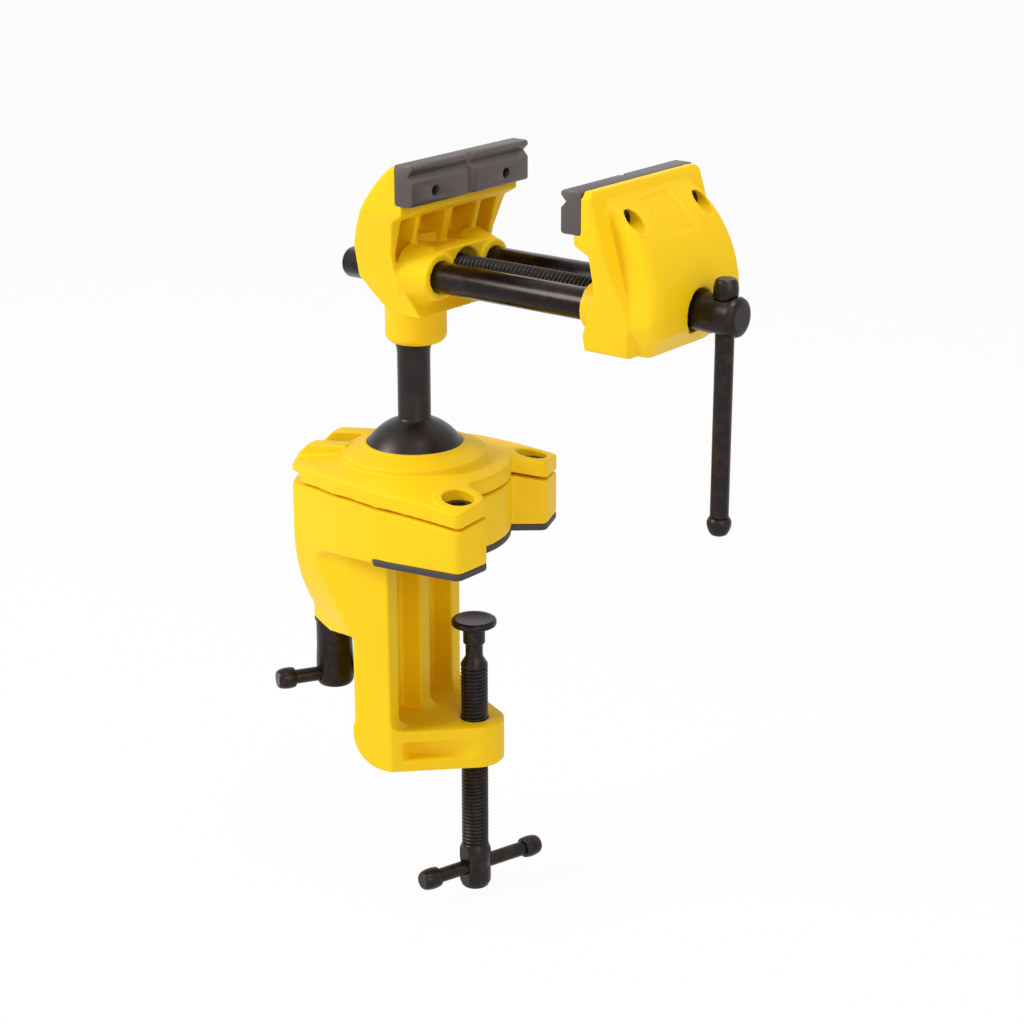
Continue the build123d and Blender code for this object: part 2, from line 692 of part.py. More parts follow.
def fixed_profile():
    back = ThreePointArc((jaw_back_x - fixed_top_lip, jaw_top),
                         (jaw_back_x - fixed_bulge_depth, rod_axis_z + fixed_bulge_rise),
                         (jaw_back_x - fixed_back_depth, rod_axis_z + fixed_back_rise))
    foot_x = jaw_back_x + foot_reach
    lip_x = jaw_back_x + ledge_reach
    low_x = fixed_front_x - face_slope
    rest = Polyline(back @ 1, (jaw_back_x - fixed_heel_depth, rod_axis_z - fixed_heel_drop),
                    (jaw_back_x - fixed_toe_depth, jaw_floor_z), (foot_x, jaw_floor_z),
                    (foot_x - foot_lean, jaw_floor_z + foot_lip), (low_x, jaw_floor_z + foot_blend),
                    (low_x, pocket_bottom_z), (fixed_front_x, ledge_z - ledge_reach), (lip_x, ledge_z),
                    (lip_x, jaw_plate_bottom), (jaw_back_x, jaw_plate_bottom), (jaw_back_x, jaw_top),
                    back @ 0)
    return make_face(Wire([back, *rest.edges()]))


def collar():
    shape = pin_z(collar_radius, collar_bottom, jaw_floor_z + collar_rise, collar_shift)
    return fillet(shape.edges().group_by(Axis.Z)[0], collar_round)


def rod_sockets():
    # Bosses around the rods, spread where they leave the jaw's face, and the shelf between them.
    start = fixed_front_x - face_slope - 1
    end = jaw_back_x + socket_reach
    spread = Cone(socket_radius + socket_spread, socket_radius, end - start,
                  align=(Align.CENTER, Align.CENTER, Align.MIN))
    low = rod_axis_z - socket_radius
    shelf = block(start, jaw_back_x + web_reach, -rod_half, rod_half, low, pocket_bottom_z)
    return both_sides(Pos(start, rod_half, rod_axis_z) * Rot(0, 90, 0) * spread) + shelf


def fixed_jaw():
    back_x = jaw_back_x - fixed_back_depth
    far = jaw_face_x + nut_length
    body = across(fixed_profile(), jaw_width / 2)
    body -= side_tapers(2 * back_x - nut_length, far)
    rear_x = fixed_front_x - face_slope - 1
    rims = [e for e in body.edges() if abs(e.center().Y) > hump_half / 2]
    body = fillet([e for e in rims if e.center().X < rear_x], edge_round)
    body -= jaw_pockets(fixed_front_x - pocket_depth, far, fixed_pockets)
    body += collar() + rod_sockets()
    body += both_sides(pin_x(rod_boss_radius, back_x + 2.5, jaw_back_x, rod_half, rod_axis_z))
    body -= both_sides(pin_x(rod_radius + running_gap, 2 * back_x - nut_length, far, rod_half, rod_axis_z))
    nut_back = fixed_front_x - nut_length
    body -= pin_x(nut_radius + press_gap, nut_back, far, 0, rod_axis_z)
    body -= pin_x(screw_radius + 1, -2 * collar_radius, nut_back + 1, 0, rod_axis_z)
    body -= pin_z(post_radius + running_gap, collar_bottom - 1, post_top + 0.5)
    body -= pin_x(set_screw_radius + press_gap, -collar_radius - 1, 0, 0, groove_z)
    bore = pin_x(jaw_screw_radius + screw_gap, back_x, jaw_back_x + 1, jaw_screw_half, jaw_screw_z)
    seat = jaw_back_x - jaw_screw_wall
    access = pin_x(driver_radius, 2 * back_x - nut_length, seat, jaw_screw_half, jaw_screw_z)
    return head_place * (body - both_sides(bore + access))


def jaw_plate():
    # Plate with its back on x = 0 and its working face towards +x.
    face = jaw_plate_thickness
    gap = jaw_groove_height / 2
    profile = polygon((0, jaw_plate_bottom), (face, jaw_plate_bottom), (face, jaw_groove_z - gap),
                      (face - jaw_groove_depth, jaw_groove_z), (face, jaw_groove_z + gap),
                      (face, jaw_top), (0, jaw_top))
    half_cross = cross_groove_width / 2
    cross = polygon((face + 0.1, half_cross), (face + 0.1, -half_cross), (face - cross_groove_depth, 0))
    plate = across(profile, jaw_width / 2) - upright(cross, jaw_plate_bottom - 1, jaw_top + 1)
    tap = pin_x(jaw_screw_radius + press_gap, -1, face + 1, jaw_screw_half, jaw_screw_z)
    return plate - both_sides(tap)


def jaw_screws():
    # Screws from behind the casting into a plate whose back is on x = 0.
    length = jaw_screw_wall + jaw_screw_engagement
    screw = cap_screw(jaw_screw_radius, jaw_screw_head_radius, jaw_screw_head_height, length)
    laid = Pos(-jaw_screw_wall, 0, jaw_screw_z) * Rot(0, -90, 0) * screw
    return Compound([(Pos(0, side * jaw_screw_half, 0) * laid).solid() for side in (-1, 1)])


def fixed_side(shape):
    return head_place * Pos(jaw_back_x, 0, 0) * shape


def moving_side(shape):
    return head_place * Pos(moving_back_x, 0, 0) * Rot(0, 0, 180) * shape


def jaw_nut():
    nut = pin_x(nut_radius, fixed_front_x - nut_length, fixed_front_x, 0, rod_axis_z)
    bore = pin_x(screw_radius + running_gap, -nut_length, 2 * nut_length, 0, rod_axis_z)
    return head_place * (nut - bore)


def post_set_screw():
    tip = groove_depth - post_radius - running_gap
    neck = -post_radius - 0.8
    head = 0.8 + collar_shift - collar_radius
    body = pin_x(set_screw_radius, head, neck, 0, groove_z) + pin_x(set_screw_point, neck, tip, 0, groove_z)
    socket = Pos(head - 0.1, 0, groove_z) * Rot(0, 90, 0) * hex_socket(hex_key_flats, 1.8)
    return head_place * (body - socket)


def moving_profile():
    ledge = moving_back_x - ledge_reach
    foot = moving_back_x - moving_foot_reach
    top = moving_back_x + flange_top_thickness
    back = moving_back_x + flange_foot_thickness
    return polygon((moving_back_x, jaw_top), (moving_back_x, jaw_plate_bottom), (ledge, jaw_plate_bottom),
                   (ledge, ledge_z), (moving_front_x, ledge_z - ledge_reach),
                   (moving_front_x, jaw_floor_z + 1.5 * foot_blend), (foot, jaw_floor_z + foot_lip),
                   (foot, jaw_floor_z), (back, jaw_floor_z), (back + 4, jaw_floor_z + foot_blend),
                   (top, jaw_top - 2), (top - 1, jaw_top))


def hump():
    # Curved back of the moving jaw, narrower than its front flange.
    base = moving_back_x
    arc = ThreePointArc((base + hump_top_depth, jaw_top - hump_top_drop),
                        (base + hump_bulge_depth, rod_axis_z + hump_bulge_rise),
                        (base + hump_back_depth, rod_axis_z + hump_back_rise))
    inner = moving_front_x + 0.5
    rest = Polyline(arc @ 1, (base + hump_heel_depth, rod_axis_z - hump_heel_drop),
                    (base + hump_floor_depth, jaw_floor_z), (inner, jaw_floor_z),
                    (inner, jaw_top - hump_top_drop), arc @ 0)
    shape = across(make_face(Wire([arc, *rest.edges()])), hump_half)
    low = jaw_floor_z - 1
    trim = polygon((hump_half - hump_side_cut, low), (hump_half + 5, low),
                   (hump_half + 5, jaw_floor_z + hump_side_rise), (hump_half, jaw_floor_z + hump_side_rise))
    shape -= both_sides(Pos(base - 10, 0, 0) * extrude(Plane.YZ * trim, 60))
    rims = [e for e in shape.edges() if e.center().X > base + 2 * hump_top_depth]
    rims = [e for e in rims if abs(e.center().Y) > hump_half / 2]
    return fillet(rims, hump_round)


def moving_jaw():
    far = moving_back_x + 2 * hump_back_depth
    body = across(moving_profile(), jaw_width / 2)
    body -= side_tapers(moving_boss_x - 1, far)
    rims = [e for e in body.edges() if abs(e.center().Y) > hump_half / 2]
    rims = [e for e in rims if e.center().X > moving_back_x + 0.5]
    body = fillet(rims, edge_round) + hump()
    body -= jaw_pockets(moving_boss_x, moving_front_x + moving_pocket_depth, moving_pockets)
    body += both_sides(pin_x(rod_boss_radius, moving_boss_x, moving_front_x + 8, rod_half, rod_axis_z))
    body -= both_sides(pin_x(rod_radius + press_gap, moving_boss_x - 5, rod_front_x, rod_half, rod_axis_z))
    body -= pin_x(screw_radius + journal_gap, moving_boss_x, far, 0, rod_axis_z)
    body -= pin_x(hub_hole_radius, hub_seat_x, far, 0, rod_axis_z)
    body -= pin_x(clip_radius + 1, moving_boss_x - 1, moving_front_x + clip_seat_depth, 0, rod_axis_z)
    bore = pin_x(jaw_screw_radius + screw_gap, moving_back_x - 1, far, jaw_screw_half, jaw_screw_z)
    access = pin_x(driver_radius, moving_back_x + jaw_screw_wall, far, jaw_screw_half, jaw_screw_z)
    tap = pin_z(set_screw_radius + press_gap, jaw_floor_z - 5, rod_axis_z, rod_screw_x, rod_half)
    return head_place * (body - both_sides(bore + access + tap))


def rod_screws():
    # Grub screws from below that hold the rods in the moving jaw.
    bottom = jaw_floor_z + 1.5
    shank = pin_z(set_screw_radius, bottom, rod_axis_z - rod_radius - running_gap)
    screw = shank - Pos(0, 0, bottom - 0.1) * hex_socket(hex_key_flats, 2.2)
    placed = head_place * Pos(rod_screw_x, 0, 0)
    return Compound([(placed * Pos(0, side * rod_half, 0) * screw).solid() for side in (-1, 1)])


def guide_rod(side):
    rod = turned((0, rod_back_x), (rod_radius - rod_chamfer, rod_back_x),
                 (rod_radius, rod_back_x + rod_chamfer), (rod_radius, rod_front_x), (0, rod_front_x))
    return head_place * Pos(0, side * rod_half, rod_axis_z) * Rot(0, 90, 0) * rod


def main_screw():
    # Built along z and then laid along the rods.
    shape = turned((0, screw_back_x), (screw_radius, screw_back_x), (screw_radius, hub_front_x),
                   (hub_back_radius, hub_front_x), (hub_radius, handle_x),
                   (hub_radius, hub_end_x - hub_round),
                   (hub_radius - 0.3 * hub_round, hub_end_x - 0.3 * hub_round),
                   (hub_radius - hub_round, hub_end_x), (0, hub_end_x))
    end = moving_front_x - 2.5
    shape -= ring_grooves(screw_radius, screw_back_x + 1, end, screw_pitch, thread_groove)
    groove = pin_z(screw_radius + 1, clip_x - clip_side_gap, clip_x + clip_thickness + clip_side_gap)
    shape -= groove - pin_z(screw_radius - clip_groove_depth, clip_x - 5, clip_x + 5)
    laid = Pos(0, 0, rod_axis_z) * Rot(0, 90, 0) * shape
    cross = pin_z(handle_radius + running_gap, -2 * hub_radius, 2 * hub_radius)
    spot = pin_z(handle_knob_radius + face_gap, hub_spot_radius, hub_radius + 1)
    laid -= Pos(handle_x, 0, rod_axis_z) * (cross + spot + Rot(180, 0, 0) * spot)
    return head_place * laid


def hub_washer():
    ring = pin_x(hub_radius, hub_seat_x, hub_front_x, 0, rod_axis_z)
    bore = pin_x(screw_radius + running_gap, hub_seat_x - 1, hub_front_x + 1, 0, rod_axis_z)
    return head_place * (ring - bore)


def screw_clip():
    # Open ring in the screw's groove. It draws the jaw back when the screw is undone.
    inner = screw_radius - clip_groove_depth + running_gap
    ring = pin_x(clip_radius, clip_x, clip_x + clip_thickness, 0, rod_axis_z)
    ring -= pin_x(inner, clip_x - 1, clip_x + clip_thickness + 1, 0, rod_axis_z)
    mouth = block(clip_x - 1, clip_x + clip_thickness + 1, -0.45 * inner, 0.45 * inner,
                  rod_axis_z - clip_radius - 1, rod_axis_z)
    return head_place * (ring - mouth)


def main_handle():
    bar, knobs = bar_with_knobs(handle_radius, handle_length, handle_knob_radius, handle_knob_length)
    top = rod_axis_z + hub_spot_radius + handle_knob_length
    place = head_place * Pos(handle_x, 0, top - handle_length / 2)
    return place * bar, place * knobs


def save_handle(name, pieces):
    save(name + "_bar", pieces[0])
    save(name + "_knobs", pieces[1])


save("clamp_frame", clamp_frame())
save("clamp_plate", clamp_plate())
save("bench_pad", bench_pad())
save("plate_screws", plate_screws())
save("lock_bolt", lock_bolt())
save("lock_washer", lock_washer())
save("lock_nut", lock_nut())
save_handle("lock_handle", lock_handle())
save("swivel_pad", swivel_pad())
save("clamp_screw", clamp_screw())
save_handle("clamp_handle", clamp_handle())
save("ball_seat", ball_seat())
save("ball_post", ball_post())
save("fixed_jaw", fixed_jaw())
save("fixed_jaw_plate", fixed_side(jaw_plate()))
save("fixed_plate_screws", fixed_side(jaw_screws()))
save("jaw_nut", jaw_nut())
save("post_set_screw", post_set_screw())
save("moving_jaw", moving_jaw())
save("moving_jaw_plate", moving_side(jaw_plate()))
save("moving_plate_screws", moving_side(jaw_screws()))
save("left_guide_rod", guide_rod(1))
save("right_guide_rod", guide_rod(-1))
save("rod_screws", rod_screws())
save("main_screw", main_screw())
save("hub_washer", hub_washer())
save("screw_clip", screw_clip())
save_handle("main_handle", main_handle())
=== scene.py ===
import math
import bpy
import bmesh
from mathutils import Matrix, Vector


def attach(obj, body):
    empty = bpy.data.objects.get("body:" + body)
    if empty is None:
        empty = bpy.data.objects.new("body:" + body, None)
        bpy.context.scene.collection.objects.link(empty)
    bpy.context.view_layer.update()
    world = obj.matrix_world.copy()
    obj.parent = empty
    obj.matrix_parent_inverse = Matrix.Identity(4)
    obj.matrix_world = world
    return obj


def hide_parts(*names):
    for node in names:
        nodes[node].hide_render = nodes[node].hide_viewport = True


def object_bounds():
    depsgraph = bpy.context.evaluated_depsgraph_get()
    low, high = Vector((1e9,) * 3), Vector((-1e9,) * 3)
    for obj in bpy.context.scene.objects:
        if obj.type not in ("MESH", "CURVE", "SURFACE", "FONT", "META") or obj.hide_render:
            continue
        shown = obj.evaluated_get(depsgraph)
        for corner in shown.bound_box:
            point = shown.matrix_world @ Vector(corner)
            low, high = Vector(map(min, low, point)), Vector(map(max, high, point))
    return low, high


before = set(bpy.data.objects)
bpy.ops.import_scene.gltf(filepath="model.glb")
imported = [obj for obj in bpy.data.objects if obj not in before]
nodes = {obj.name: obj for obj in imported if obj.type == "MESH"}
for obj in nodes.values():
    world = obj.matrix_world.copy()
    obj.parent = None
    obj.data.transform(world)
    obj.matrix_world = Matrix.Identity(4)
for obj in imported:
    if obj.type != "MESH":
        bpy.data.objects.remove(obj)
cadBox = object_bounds()
print("frame loaded,", len(nodes), "nodes")

# everything below is worked out in millimetres and ends up in metres, in the frame of the CAD
millimetre = 0.001  # in metres
metre = 1000.0  # in millimetres
toMetres = Matrix.Scale(millimetre, 4)
ballAt = (-28, 0, 28.697)  # the ball's centre
headTurn = 10.5  # degrees that the head is turned at rest
baseFrame = Matrix.Identity(4)
headFrame = Matrix.Translation((ballAt[0], 0, 0)) @ Matrix.Rotation(math.radians(-headTurn), 4, "Z")
layAlongX = Matrix.Rotation(math.radians(90), 4, "Y")
turnOver = Matrix.Rotation(math.radians(180), 4, "X")
turnAbout = Matrix.Rotation(math.radians(180), 4, "Z")


def at(x, y, z):
    return Matrix.Translation((x, y, z))


cameraSettings = {
    "place": (440.23, -827.64, 339.30),
    "tilt": 70.838,  # degrees up from looking straight down
    "turn": 27.007,
    "lens": 82.18,
    "sensor": 36.0,
}
cameraData = bpy.data.cameras.new("camera")
cameraData.lens = cameraSettings["lens"]
cameraData.sensor_width = cameraSettings["sensor"]
camera = bpy.data.objects.new("camera", cameraData)
camera.location = Vector(cameraSettings["place"]) * millimetre
camera.rotation_euler = (math.radians(cameraSettings["tilt"]), 0, math.radians(cameraSettings["turn"]))
bpy.context.scene.collection.objects.link(camera)
bpy.context.scene.camera = camera
bpy.context.scene.view_settings.view_transform = "Standard"


def linearColor(hexText):  # screen colour to the linear values that the nodes take
    channels = [int(hexText[i:i + 2], 16) / 255 for i in (1, 3, 5)]
    return [c / 12.92 if c <= 0.04045 else ((c + 0.055) / 1.055) ** 2.4 for c in channels] + [1.0]


def addNode(tree, kind, values=None, links=None, **settings):
    node = tree.nodes.new(kind)
    for key, value in settings.items():
        setattr(node, key, value)
    for key, value in (values or {}).items():
        node.inputs[key].default_value = value
    for key, source in (links or {}).items():
        tree.links.new(source, node.inputs[key])
    return node


def seenDirectly(tree):  # 1 for rays from the camera and for mirror and glass rays, 0 for the light itself
    path = addNode(tree, "ShaderNodeLightPath")
    either = addNode(tree, "ShaderNodeMath", links={0: path.outputs["Is Camera Ray"],
                                                    1: path.outputs["Is Glossy Ray"]}, operation="MAXIMUM")
    allThree = addNode(tree, "ShaderNodeMath", links={0: either.outputs[0],
                                                      1: path.outputs["Is Transmission Ray"]},
                       operation="MAXIMUM")
    return allThree.outputs[0]


lightSettings = {
    "background": 1.0,  # what the camera sees
    "roomLight": 0.38,  # what falls on the object from all round
    "lamps": {  # places and sizes in metres, power in watts
        "key": {"place": (-0.95, -0.78, 0.85), "size": 0.65, "power": 14.0},
        "fill": {"place": (1.00, -0.75, 0.55), "size": 0.8, "power": 3.6},
        "top": {"place": (0.40, -0.15, 1.35), "size": 0.6, "power": 7.5},
    },
}


def buildWorld(settings):
    world = bpy.data.worlds.new("pale room")
    bpy.context.scene.world = world
    world.use_nodes = True
    tree = world.node_tree
    tree.nodes.clear()
    white = linearColor("#FFFFFF")
    seen = addNode(tree, "ShaderNodeBackground", {"Color": white, "Strength": settings["background"]})
    room = addNode(tree, "ShaderNodeBackground", {"Color": white, "Strength": settings["roomLight"]})
    mix = addNode(tree, "ShaderNodeMixShader", links={0: seenDirectly(tree), 1: room.outputs[0],
                                                      2: seen.outputs[0]})
    addNode(tree, "ShaderNodeOutputWorld", links={"Surface": mix.outputs[0]})


def addLamp(name, settings):
    data = bpy.data.lights.new(name, "AREA")
    data.shape = "DISK"
    data.size = settings["size"]
    data.energy = settings["power"]
    lamp = bpy.data.objects.new(name, data)
    lamp.location = settings["place"]
    lamp.rotation_mode = "QUATERNION"
    aim = (cadBox[0] + cadBox[1]) / 2 - Vector(settings["place"])
    lamp.rotation_quaternion = aim.to_track_quat("-Z", "Y")
    bpy.context.scene.collection.objects.link(lamp)


floorSettings = {
    "color": "#F4F4F4",
    "glow": 0.94,  # share of the floor's white that isn't shaded
    "drop": 1.5,  # mm under the lowest point
    "half": 15.0,  # metres
}


def buildFloor(settings):
    material = bpy.data.materials.new("pale floor")
    material.use_nodes = True
    tree = material.node_tree
    tree.nodes.clear()
    matte = addNode(tree, "ShaderNodeBsdfDiffuse", {"Color": linearColor(settings["color"])})
    glow = addNode(tree, "ShaderNodeEmission", {"Color": linearColor("#FFFFFF"), "Strength": 1.0})
    share = addNode(tree, "ShaderNodeMath", {1: settings["glow"]}, {0: seenDirectly(tree)},
                    operation="MULTIPLY")
    mix = addNode(tree, "ShaderNodeMixShader", links={0: share.outputs[0], 1: matte.outputs[0],
                                                      2: glow.outputs[0]})
    addNode(tree, "ShaderNodeOutputMaterial", links={"Surface": mix.outputs[0]})
    bm = bmesh.new()
    bmesh.ops.create_grid(bm, x_segments=1, y_segments=1, size=settings["half"])
    level = cadBox[0].z - settings["drop"] * millimetre
    bmesh.ops.translate(bm, verts=bm.verts, vec=(0, 0, level))
    mesh = bpy.data.meshes.new("floor")
    bm.to_mesh(mesh)
    bm.free()
    floor = bpy.data.objects.new("floor", mesh)
    floor.data.materials.append(material)
    bpy.context.scene.collection.objects.link(floor)


buildWorld(lightSettings)
buildFloor(floorSettings)
for lampName, lampSettings in lightSettings["lamps"].items():
    addLamp(lampName + " lamp", lampSettings)
print("camera, floor and lamps set")


def newMaterial(name):
    material = bpy.data.materials.new(name)
    material.use_nodes = True
    tree = material.node_tree
    tree.nodes.clear()
    shader = addNode(tree, "ShaderNodeBsdfPrincipled")
    addNode(tree, "ShaderNodeOutputMaterial", links={"Surface": shader.outputs[0]})
    coords = addNode(tree, "ShaderNodeTexCoord")
    return material, tree, shader, coords.outputs["Object"]


def noiseOf(tree, coords, look):  # look is (mm across its features, detail, roughness)
    size, detail, rough = look
    values = {"Scale": metre / size, "Detail": detail, "Roughness": rough}
    return addNode(tree, "ShaderNodeTexNoise", values, {"Vector": coords}).outputs["Fac"]


def spreadOf(tree, source, low, high, fromLow=0.3, fromHigh=0.7):  # maps a noise onto a range
    return addNode(tree, "ShaderNodeMapRange", {"From Min": fromLow, "From Max": fromHigh, "To Min": low,
                                                "To Max": high}, {"Value": source}).outputs[0]


def setTint(tree, shader, factor, first, second):  # blends two colours by a noise
    tint = addNode(tree, "ShaderNodeMix", links={0: factor}, data_type="RGBA")
    tint.inputs[6].default_value = linearColor(first)
    tint.inputs[7].default_value = linearColor(second)
    tree.links.new(tint.outputs[2], shader.inputs["Base Color"])


def setRoughness(tree, shader, source, settings):
    middle, (under, over) = settings["roughness"], settings["roughSpread"]
    tree.links.new(spreadOf(tree, source, middle - under, middle + over), shader.inputs["Roughness"])


def bumpOf(tree, height, look, below=None):  # look is (strength, depth in mm); below is a coarser bump
    strength, depth = look
    links = {"Height": height, "Normal": below} if below else {"Height": height}
    return addNode(tree, "ShaderNodeBump", {"Strength": strength, "Distance": depth * millimetre},
                   links).outputs[0]


# powder coat on die-cast aluminium: bright, even colour, a soft sheen and a fine orange peel
coatSettings = {
    "color": "#FCD00E",
    "deepColor": "#FAC909",
    "cloud": (26.0, 2.0, 0.5),  # slow change of colour
    "peel": (1.4, 1.0, 0.4),  # the orange peel's waves
    "peelBump": (0.25, 0.010),
    "grain": (0.45, 2.0, 0.5),  # coarser than real powder grain so that it shows
    "grainBump": (0.2, 0.006),
    "roughness": 0.48,
    "roughSpread": (0.05, 0.08),
    "shine": 0.2,  # under bare plastic's, so that lit faces keep their yellow
}


def powderCoat(settings):
    material, tree, shader, coords = newMaterial("powder coated casting")
    cloud = noiseOf(tree, coords, settings["cloud"])
    peel = noiseOf(tree, coords, settings["peel"])
    grain = noiseOf(tree, coords, settings["grain"])
    setTint(tree, shader, cloud, settings["color"], settings["deepColor"])
    shader.inputs["Specular IOR Level"].default_value = settings["shine"]
    setRoughness(tree, shader, grain, settings)
    waves = bumpOf(tree, peel, settings["peelBump"])
    tree.links.new(bumpOf(tree, grain, settings["grainBump"], waves), shader.inputs["Normal"])
    return material


# black oxide on turned or rolled steel: nearly black, oily sheen, with brown patches that are partly thin
# oxide and wear and partly a painted reflection of the yellow casting
oxideSettings = {
    "rods": {"color": "#26211F", "wearAndReflectionColor": "#352D2A", "patch": 9.0, "marks": (0.35, 2.0, 0.5),
             "marksBump": (0.4, 0.0015), "roughness": 0.22, "metallic": 0.9},
    "screws": {"color": "#2A2625", "wearAndReflectionColor": "#40352F", "patch": 4.0, "marks": (0.5, 2.0, 0.5),
               "marksBump": (0.4, 0.004), "roughness": 0.33, "metallic": 0.85},
    "ball": {"color": "#302B2A", "wearAndReflectionColor": "#3A3432", "patch": 9.0, "marks": (0.4, 2.0, 0.5),
             "marksBump": (0.4, 0.003), "roughness": 0.36, "metallic": 0.85},
    "nut": {"color": "#8A8783", "wearAndReflectionColor": "#6F6B67", "patch": 3.0, "marks": (0.4, 2.0, 0.5),
            "marksBump": (0.4, 0.003), "roughness": 0.34, "metallic": 0.9},
}
oxideShared = {"patchDetail": 4.0, "patchRough": 0.6, "wearAndReflectionFrom": 0.45, "wearAndReflectionTo": 0.8,
               "roughSpread": (0.04, 0.08)}


def blackOxide(name, settings):
    settings = {**oxideShared, **settings}
    material, tree, shader, coords = newMaterial(name)
    patches = noiseOf(tree, coords, (settings["patch"], settings["patchDetail"], settings["patchRough"]))
    # brown patches spread at random: partly wear, partly a painted reflection of the yellow casting
    wearAndReflection = spreadOf(tree, patches, 0.0, 1.0, settings["wearAndReflectionFrom"], settings["wearAndReflectionTo"])
    setTint(tree, shader, wearAndReflection, settings["color"], settings["wearAndReflectionColor"])
    shader.inputs["Metallic"].default_value = settings["metallic"]
    setRoughness(tree, shader, patches, settings)
    marks = noiseOf(tree, coords, settings["marks"])
    tree.links.new(bumpOf(tree, marks, settings["marksBump"]), shader.inputs["Normal"])
    return material


# hardened jaw plate, ground and blackened: grey brown, with fine grit marks along the plate
groundSettings = {
    "color": "#685F5D",
    "darkColor": "#504847",
    "grit": (0.8, 6.0, 0.7),  # coarser than the real grit so that it shows
    "gritBump": (0.5, 0.010),
    "drawnOut": 0.25,  # the marks are four times as long as they are high
    "roughness": 0.44,
    "roughSpread": (0.08, 0.1),
    "metallic": 0.6,
}


def groundPlate(settings):
    material, tree, shader, coords = newMaterial("ground jaw steel")
    along = addNode(tree, "ShaderNodeMapping", {"Rotation": (0, 0, math.radians(headTurn)),
                                                "Scale": (1, settings["drawnOut"], 1)}, {"Vector": coords})
    grit = noiseOf(tree, along.outputs[0], settings["grit"])
    setTint(tree, shader, grit, settings["darkColor"], settings["color"])
    shader.inputs["Metallic"].default_value = settings["metallic"]
    setRoughness(tree, shader, grit, settings)
    tree.links.new(bumpOf(tree, grit, settings["gritBump"]), shader.inputs["Normal"])
    return material


# moulded rubber or nylon: dull, with a faint pebble
mouldedSettings = {
    "pad": {"color": "#352F2D", "lightColor": "#403937", "pebble": (0.9, 3.0, 0.5),
            "pebbleBump": (0.4, 0.02), "roughness": 0.6, "roughSpread": (0.06, 0.08)},
    "seat": {"color": "#CFC9BC", "lightColor": "#DDD8CC", "pebble": (1.2, 3.0, 0.5),
             "pebbleBump": (0.4, 0.01), "roughness": 0.5, "roughSpread": (0.06, 0.08)},
}


def mouldedPlastic(name, settings):
    material, tree, shader, coords = newMaterial(name)
    pebble = noiseOf(tree, coords, settings["pebble"])
    setTint(tree, shader, pebble, settings["color"], settings["lightColor"])
    setRoughness(tree, shader, pebble, settings)
    tree.links.new(bumpOf(tree, pebble, settings["pebbleBump"]), shader.inputs["Normal"])
    return material


yellowCoat = powderCoat(coatSettings)
rodOxide = blackOxide("black oxide rod", oxideSettings["rods"])
screwOxide = blackOxide("black oxide screw", oxideSettings["screws"])
ballOxide = blackOxide("phosphated ball steel", oxideSettings["ball"])
nutSteel = blackOxide("turned nut steel", oxideSettings["nut"])
jawSteel = groundPlate(groundSettings)
padRubber = mouldedPlastic("moulded rubber", mouldedSettings["pad"])
seatNylon = mouldedPlastic("moulded nylon", mouldedSettings["seat"])

nodeMaterials = {
    "clamp_frame": yellowCoat, "clamp_plate": yellowCoat, "fixed_jaw": yellowCoat, "moving_jaw": yellowCoat,
    "fixed_jaw_plate": jawSteel, "moving_jaw_plate": jawSteel,
    "bench_pad": padRubber, "ball_seat": seatNylon, "jaw_nut": nutSteel,
    "ball_post": ballOxide, "left_guide_rod": rodOxide, "right_guide_rod": rodOxide,
}
for nodeName, node in nodes.items():
    node.data.materials.clear()
    node.data.materials.append(nodeMaterials.get(nodeName, screwOxide))
print("materials made")

# a finish is a slot's name and the material that the slot has in the scene
castFinish = ("yellow_casting", yellowCoat)
padFinish = ("pad_rubber", padRubber)
screwFinish = ("black_oxide_steel", screwOxide)
rodFinish = ("black_oxide_steel", rodOxide)
discFinish = ("satin_dark_steel", screwOxide)
ballFinish = ("satin_dark_steel", ballOxide)
jawFinish = ("dark_jaw_steel", jawSteel)


def placeMesh(bm, name, place):
    bmesh.ops.transform(bm, matrix=toMetres @ place, verts=bm.verts)
    mesh = bpy.data.meshes.new(name)
    bm.to_mesh(mesh)
    bm.free()
    mesh.polygons.foreach_set("use_smooth", [True] * len(mesh.polygons))
    piece = bpy.data.objects.new(name, mesh)
    bpy.context.scene.collection.objects.link(piece)
    return piece


def finishPiece(name, bm, place, body, finish, stands=()):  # stands names the CAD nodes it replaces
    slotName, material = finish
    piece = placeMesh(bm, name, place)
    piece.data.materials.append(material)
    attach(piece, body)
    if stands:
        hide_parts(*stands)
    return piece


def keepCreases(piece, degrees=35):  # smooth shading that stops at sharp edges
    piece.data.set_sharp_from_angle(angle=math.radians(degrees))


def crispPiece(name, bm, place, body, finish, stands=(), creases=35):
    keepCreases(finishPiece(name, bm, place, body, finish, stands), creases)


def applyModifiers(piece):
    cooked = bpy.data.meshes.new_from_object(piece.evaluated_get(bpy.context.evaluated_depsgraph_get()))
    piece.modifiers.clear()
    piece.data = cooked


def softenPiece(piece, grain, softness, kept=1.0):  # rounds edges and corners; keeps a share of the faces
    melt = piece.modifiers.new("melt", "REMESH")
    melt.mode = "VOXEL"
    melt.voxel_size = grain * millimetre
    melt.use_smooth_shade = True
    soften = piece.modifiers.new("soften", "SMOOTH")
    soften.factor = 0.5
    soften.iterations = softness
    if kept < 1.0:
        thin = piece.modifiers.new("thin", "DECIMATE")
        thin.ratio = kept
    applyModifiers(piece)


def cutAway(piece, cutter, place):  # takes the cutter's shape out of the piece
    tool = placeMesh(cutter, "cutter", place)
    drill = piece.modifiers.new("drill", "BOOLEAN")
    drill.operation = "DIFFERENCE"
    drill.solver = "EXACT"
    drill.object = tool
    applyModifiers(piece)
    bpy.data.objects.remove(tool)


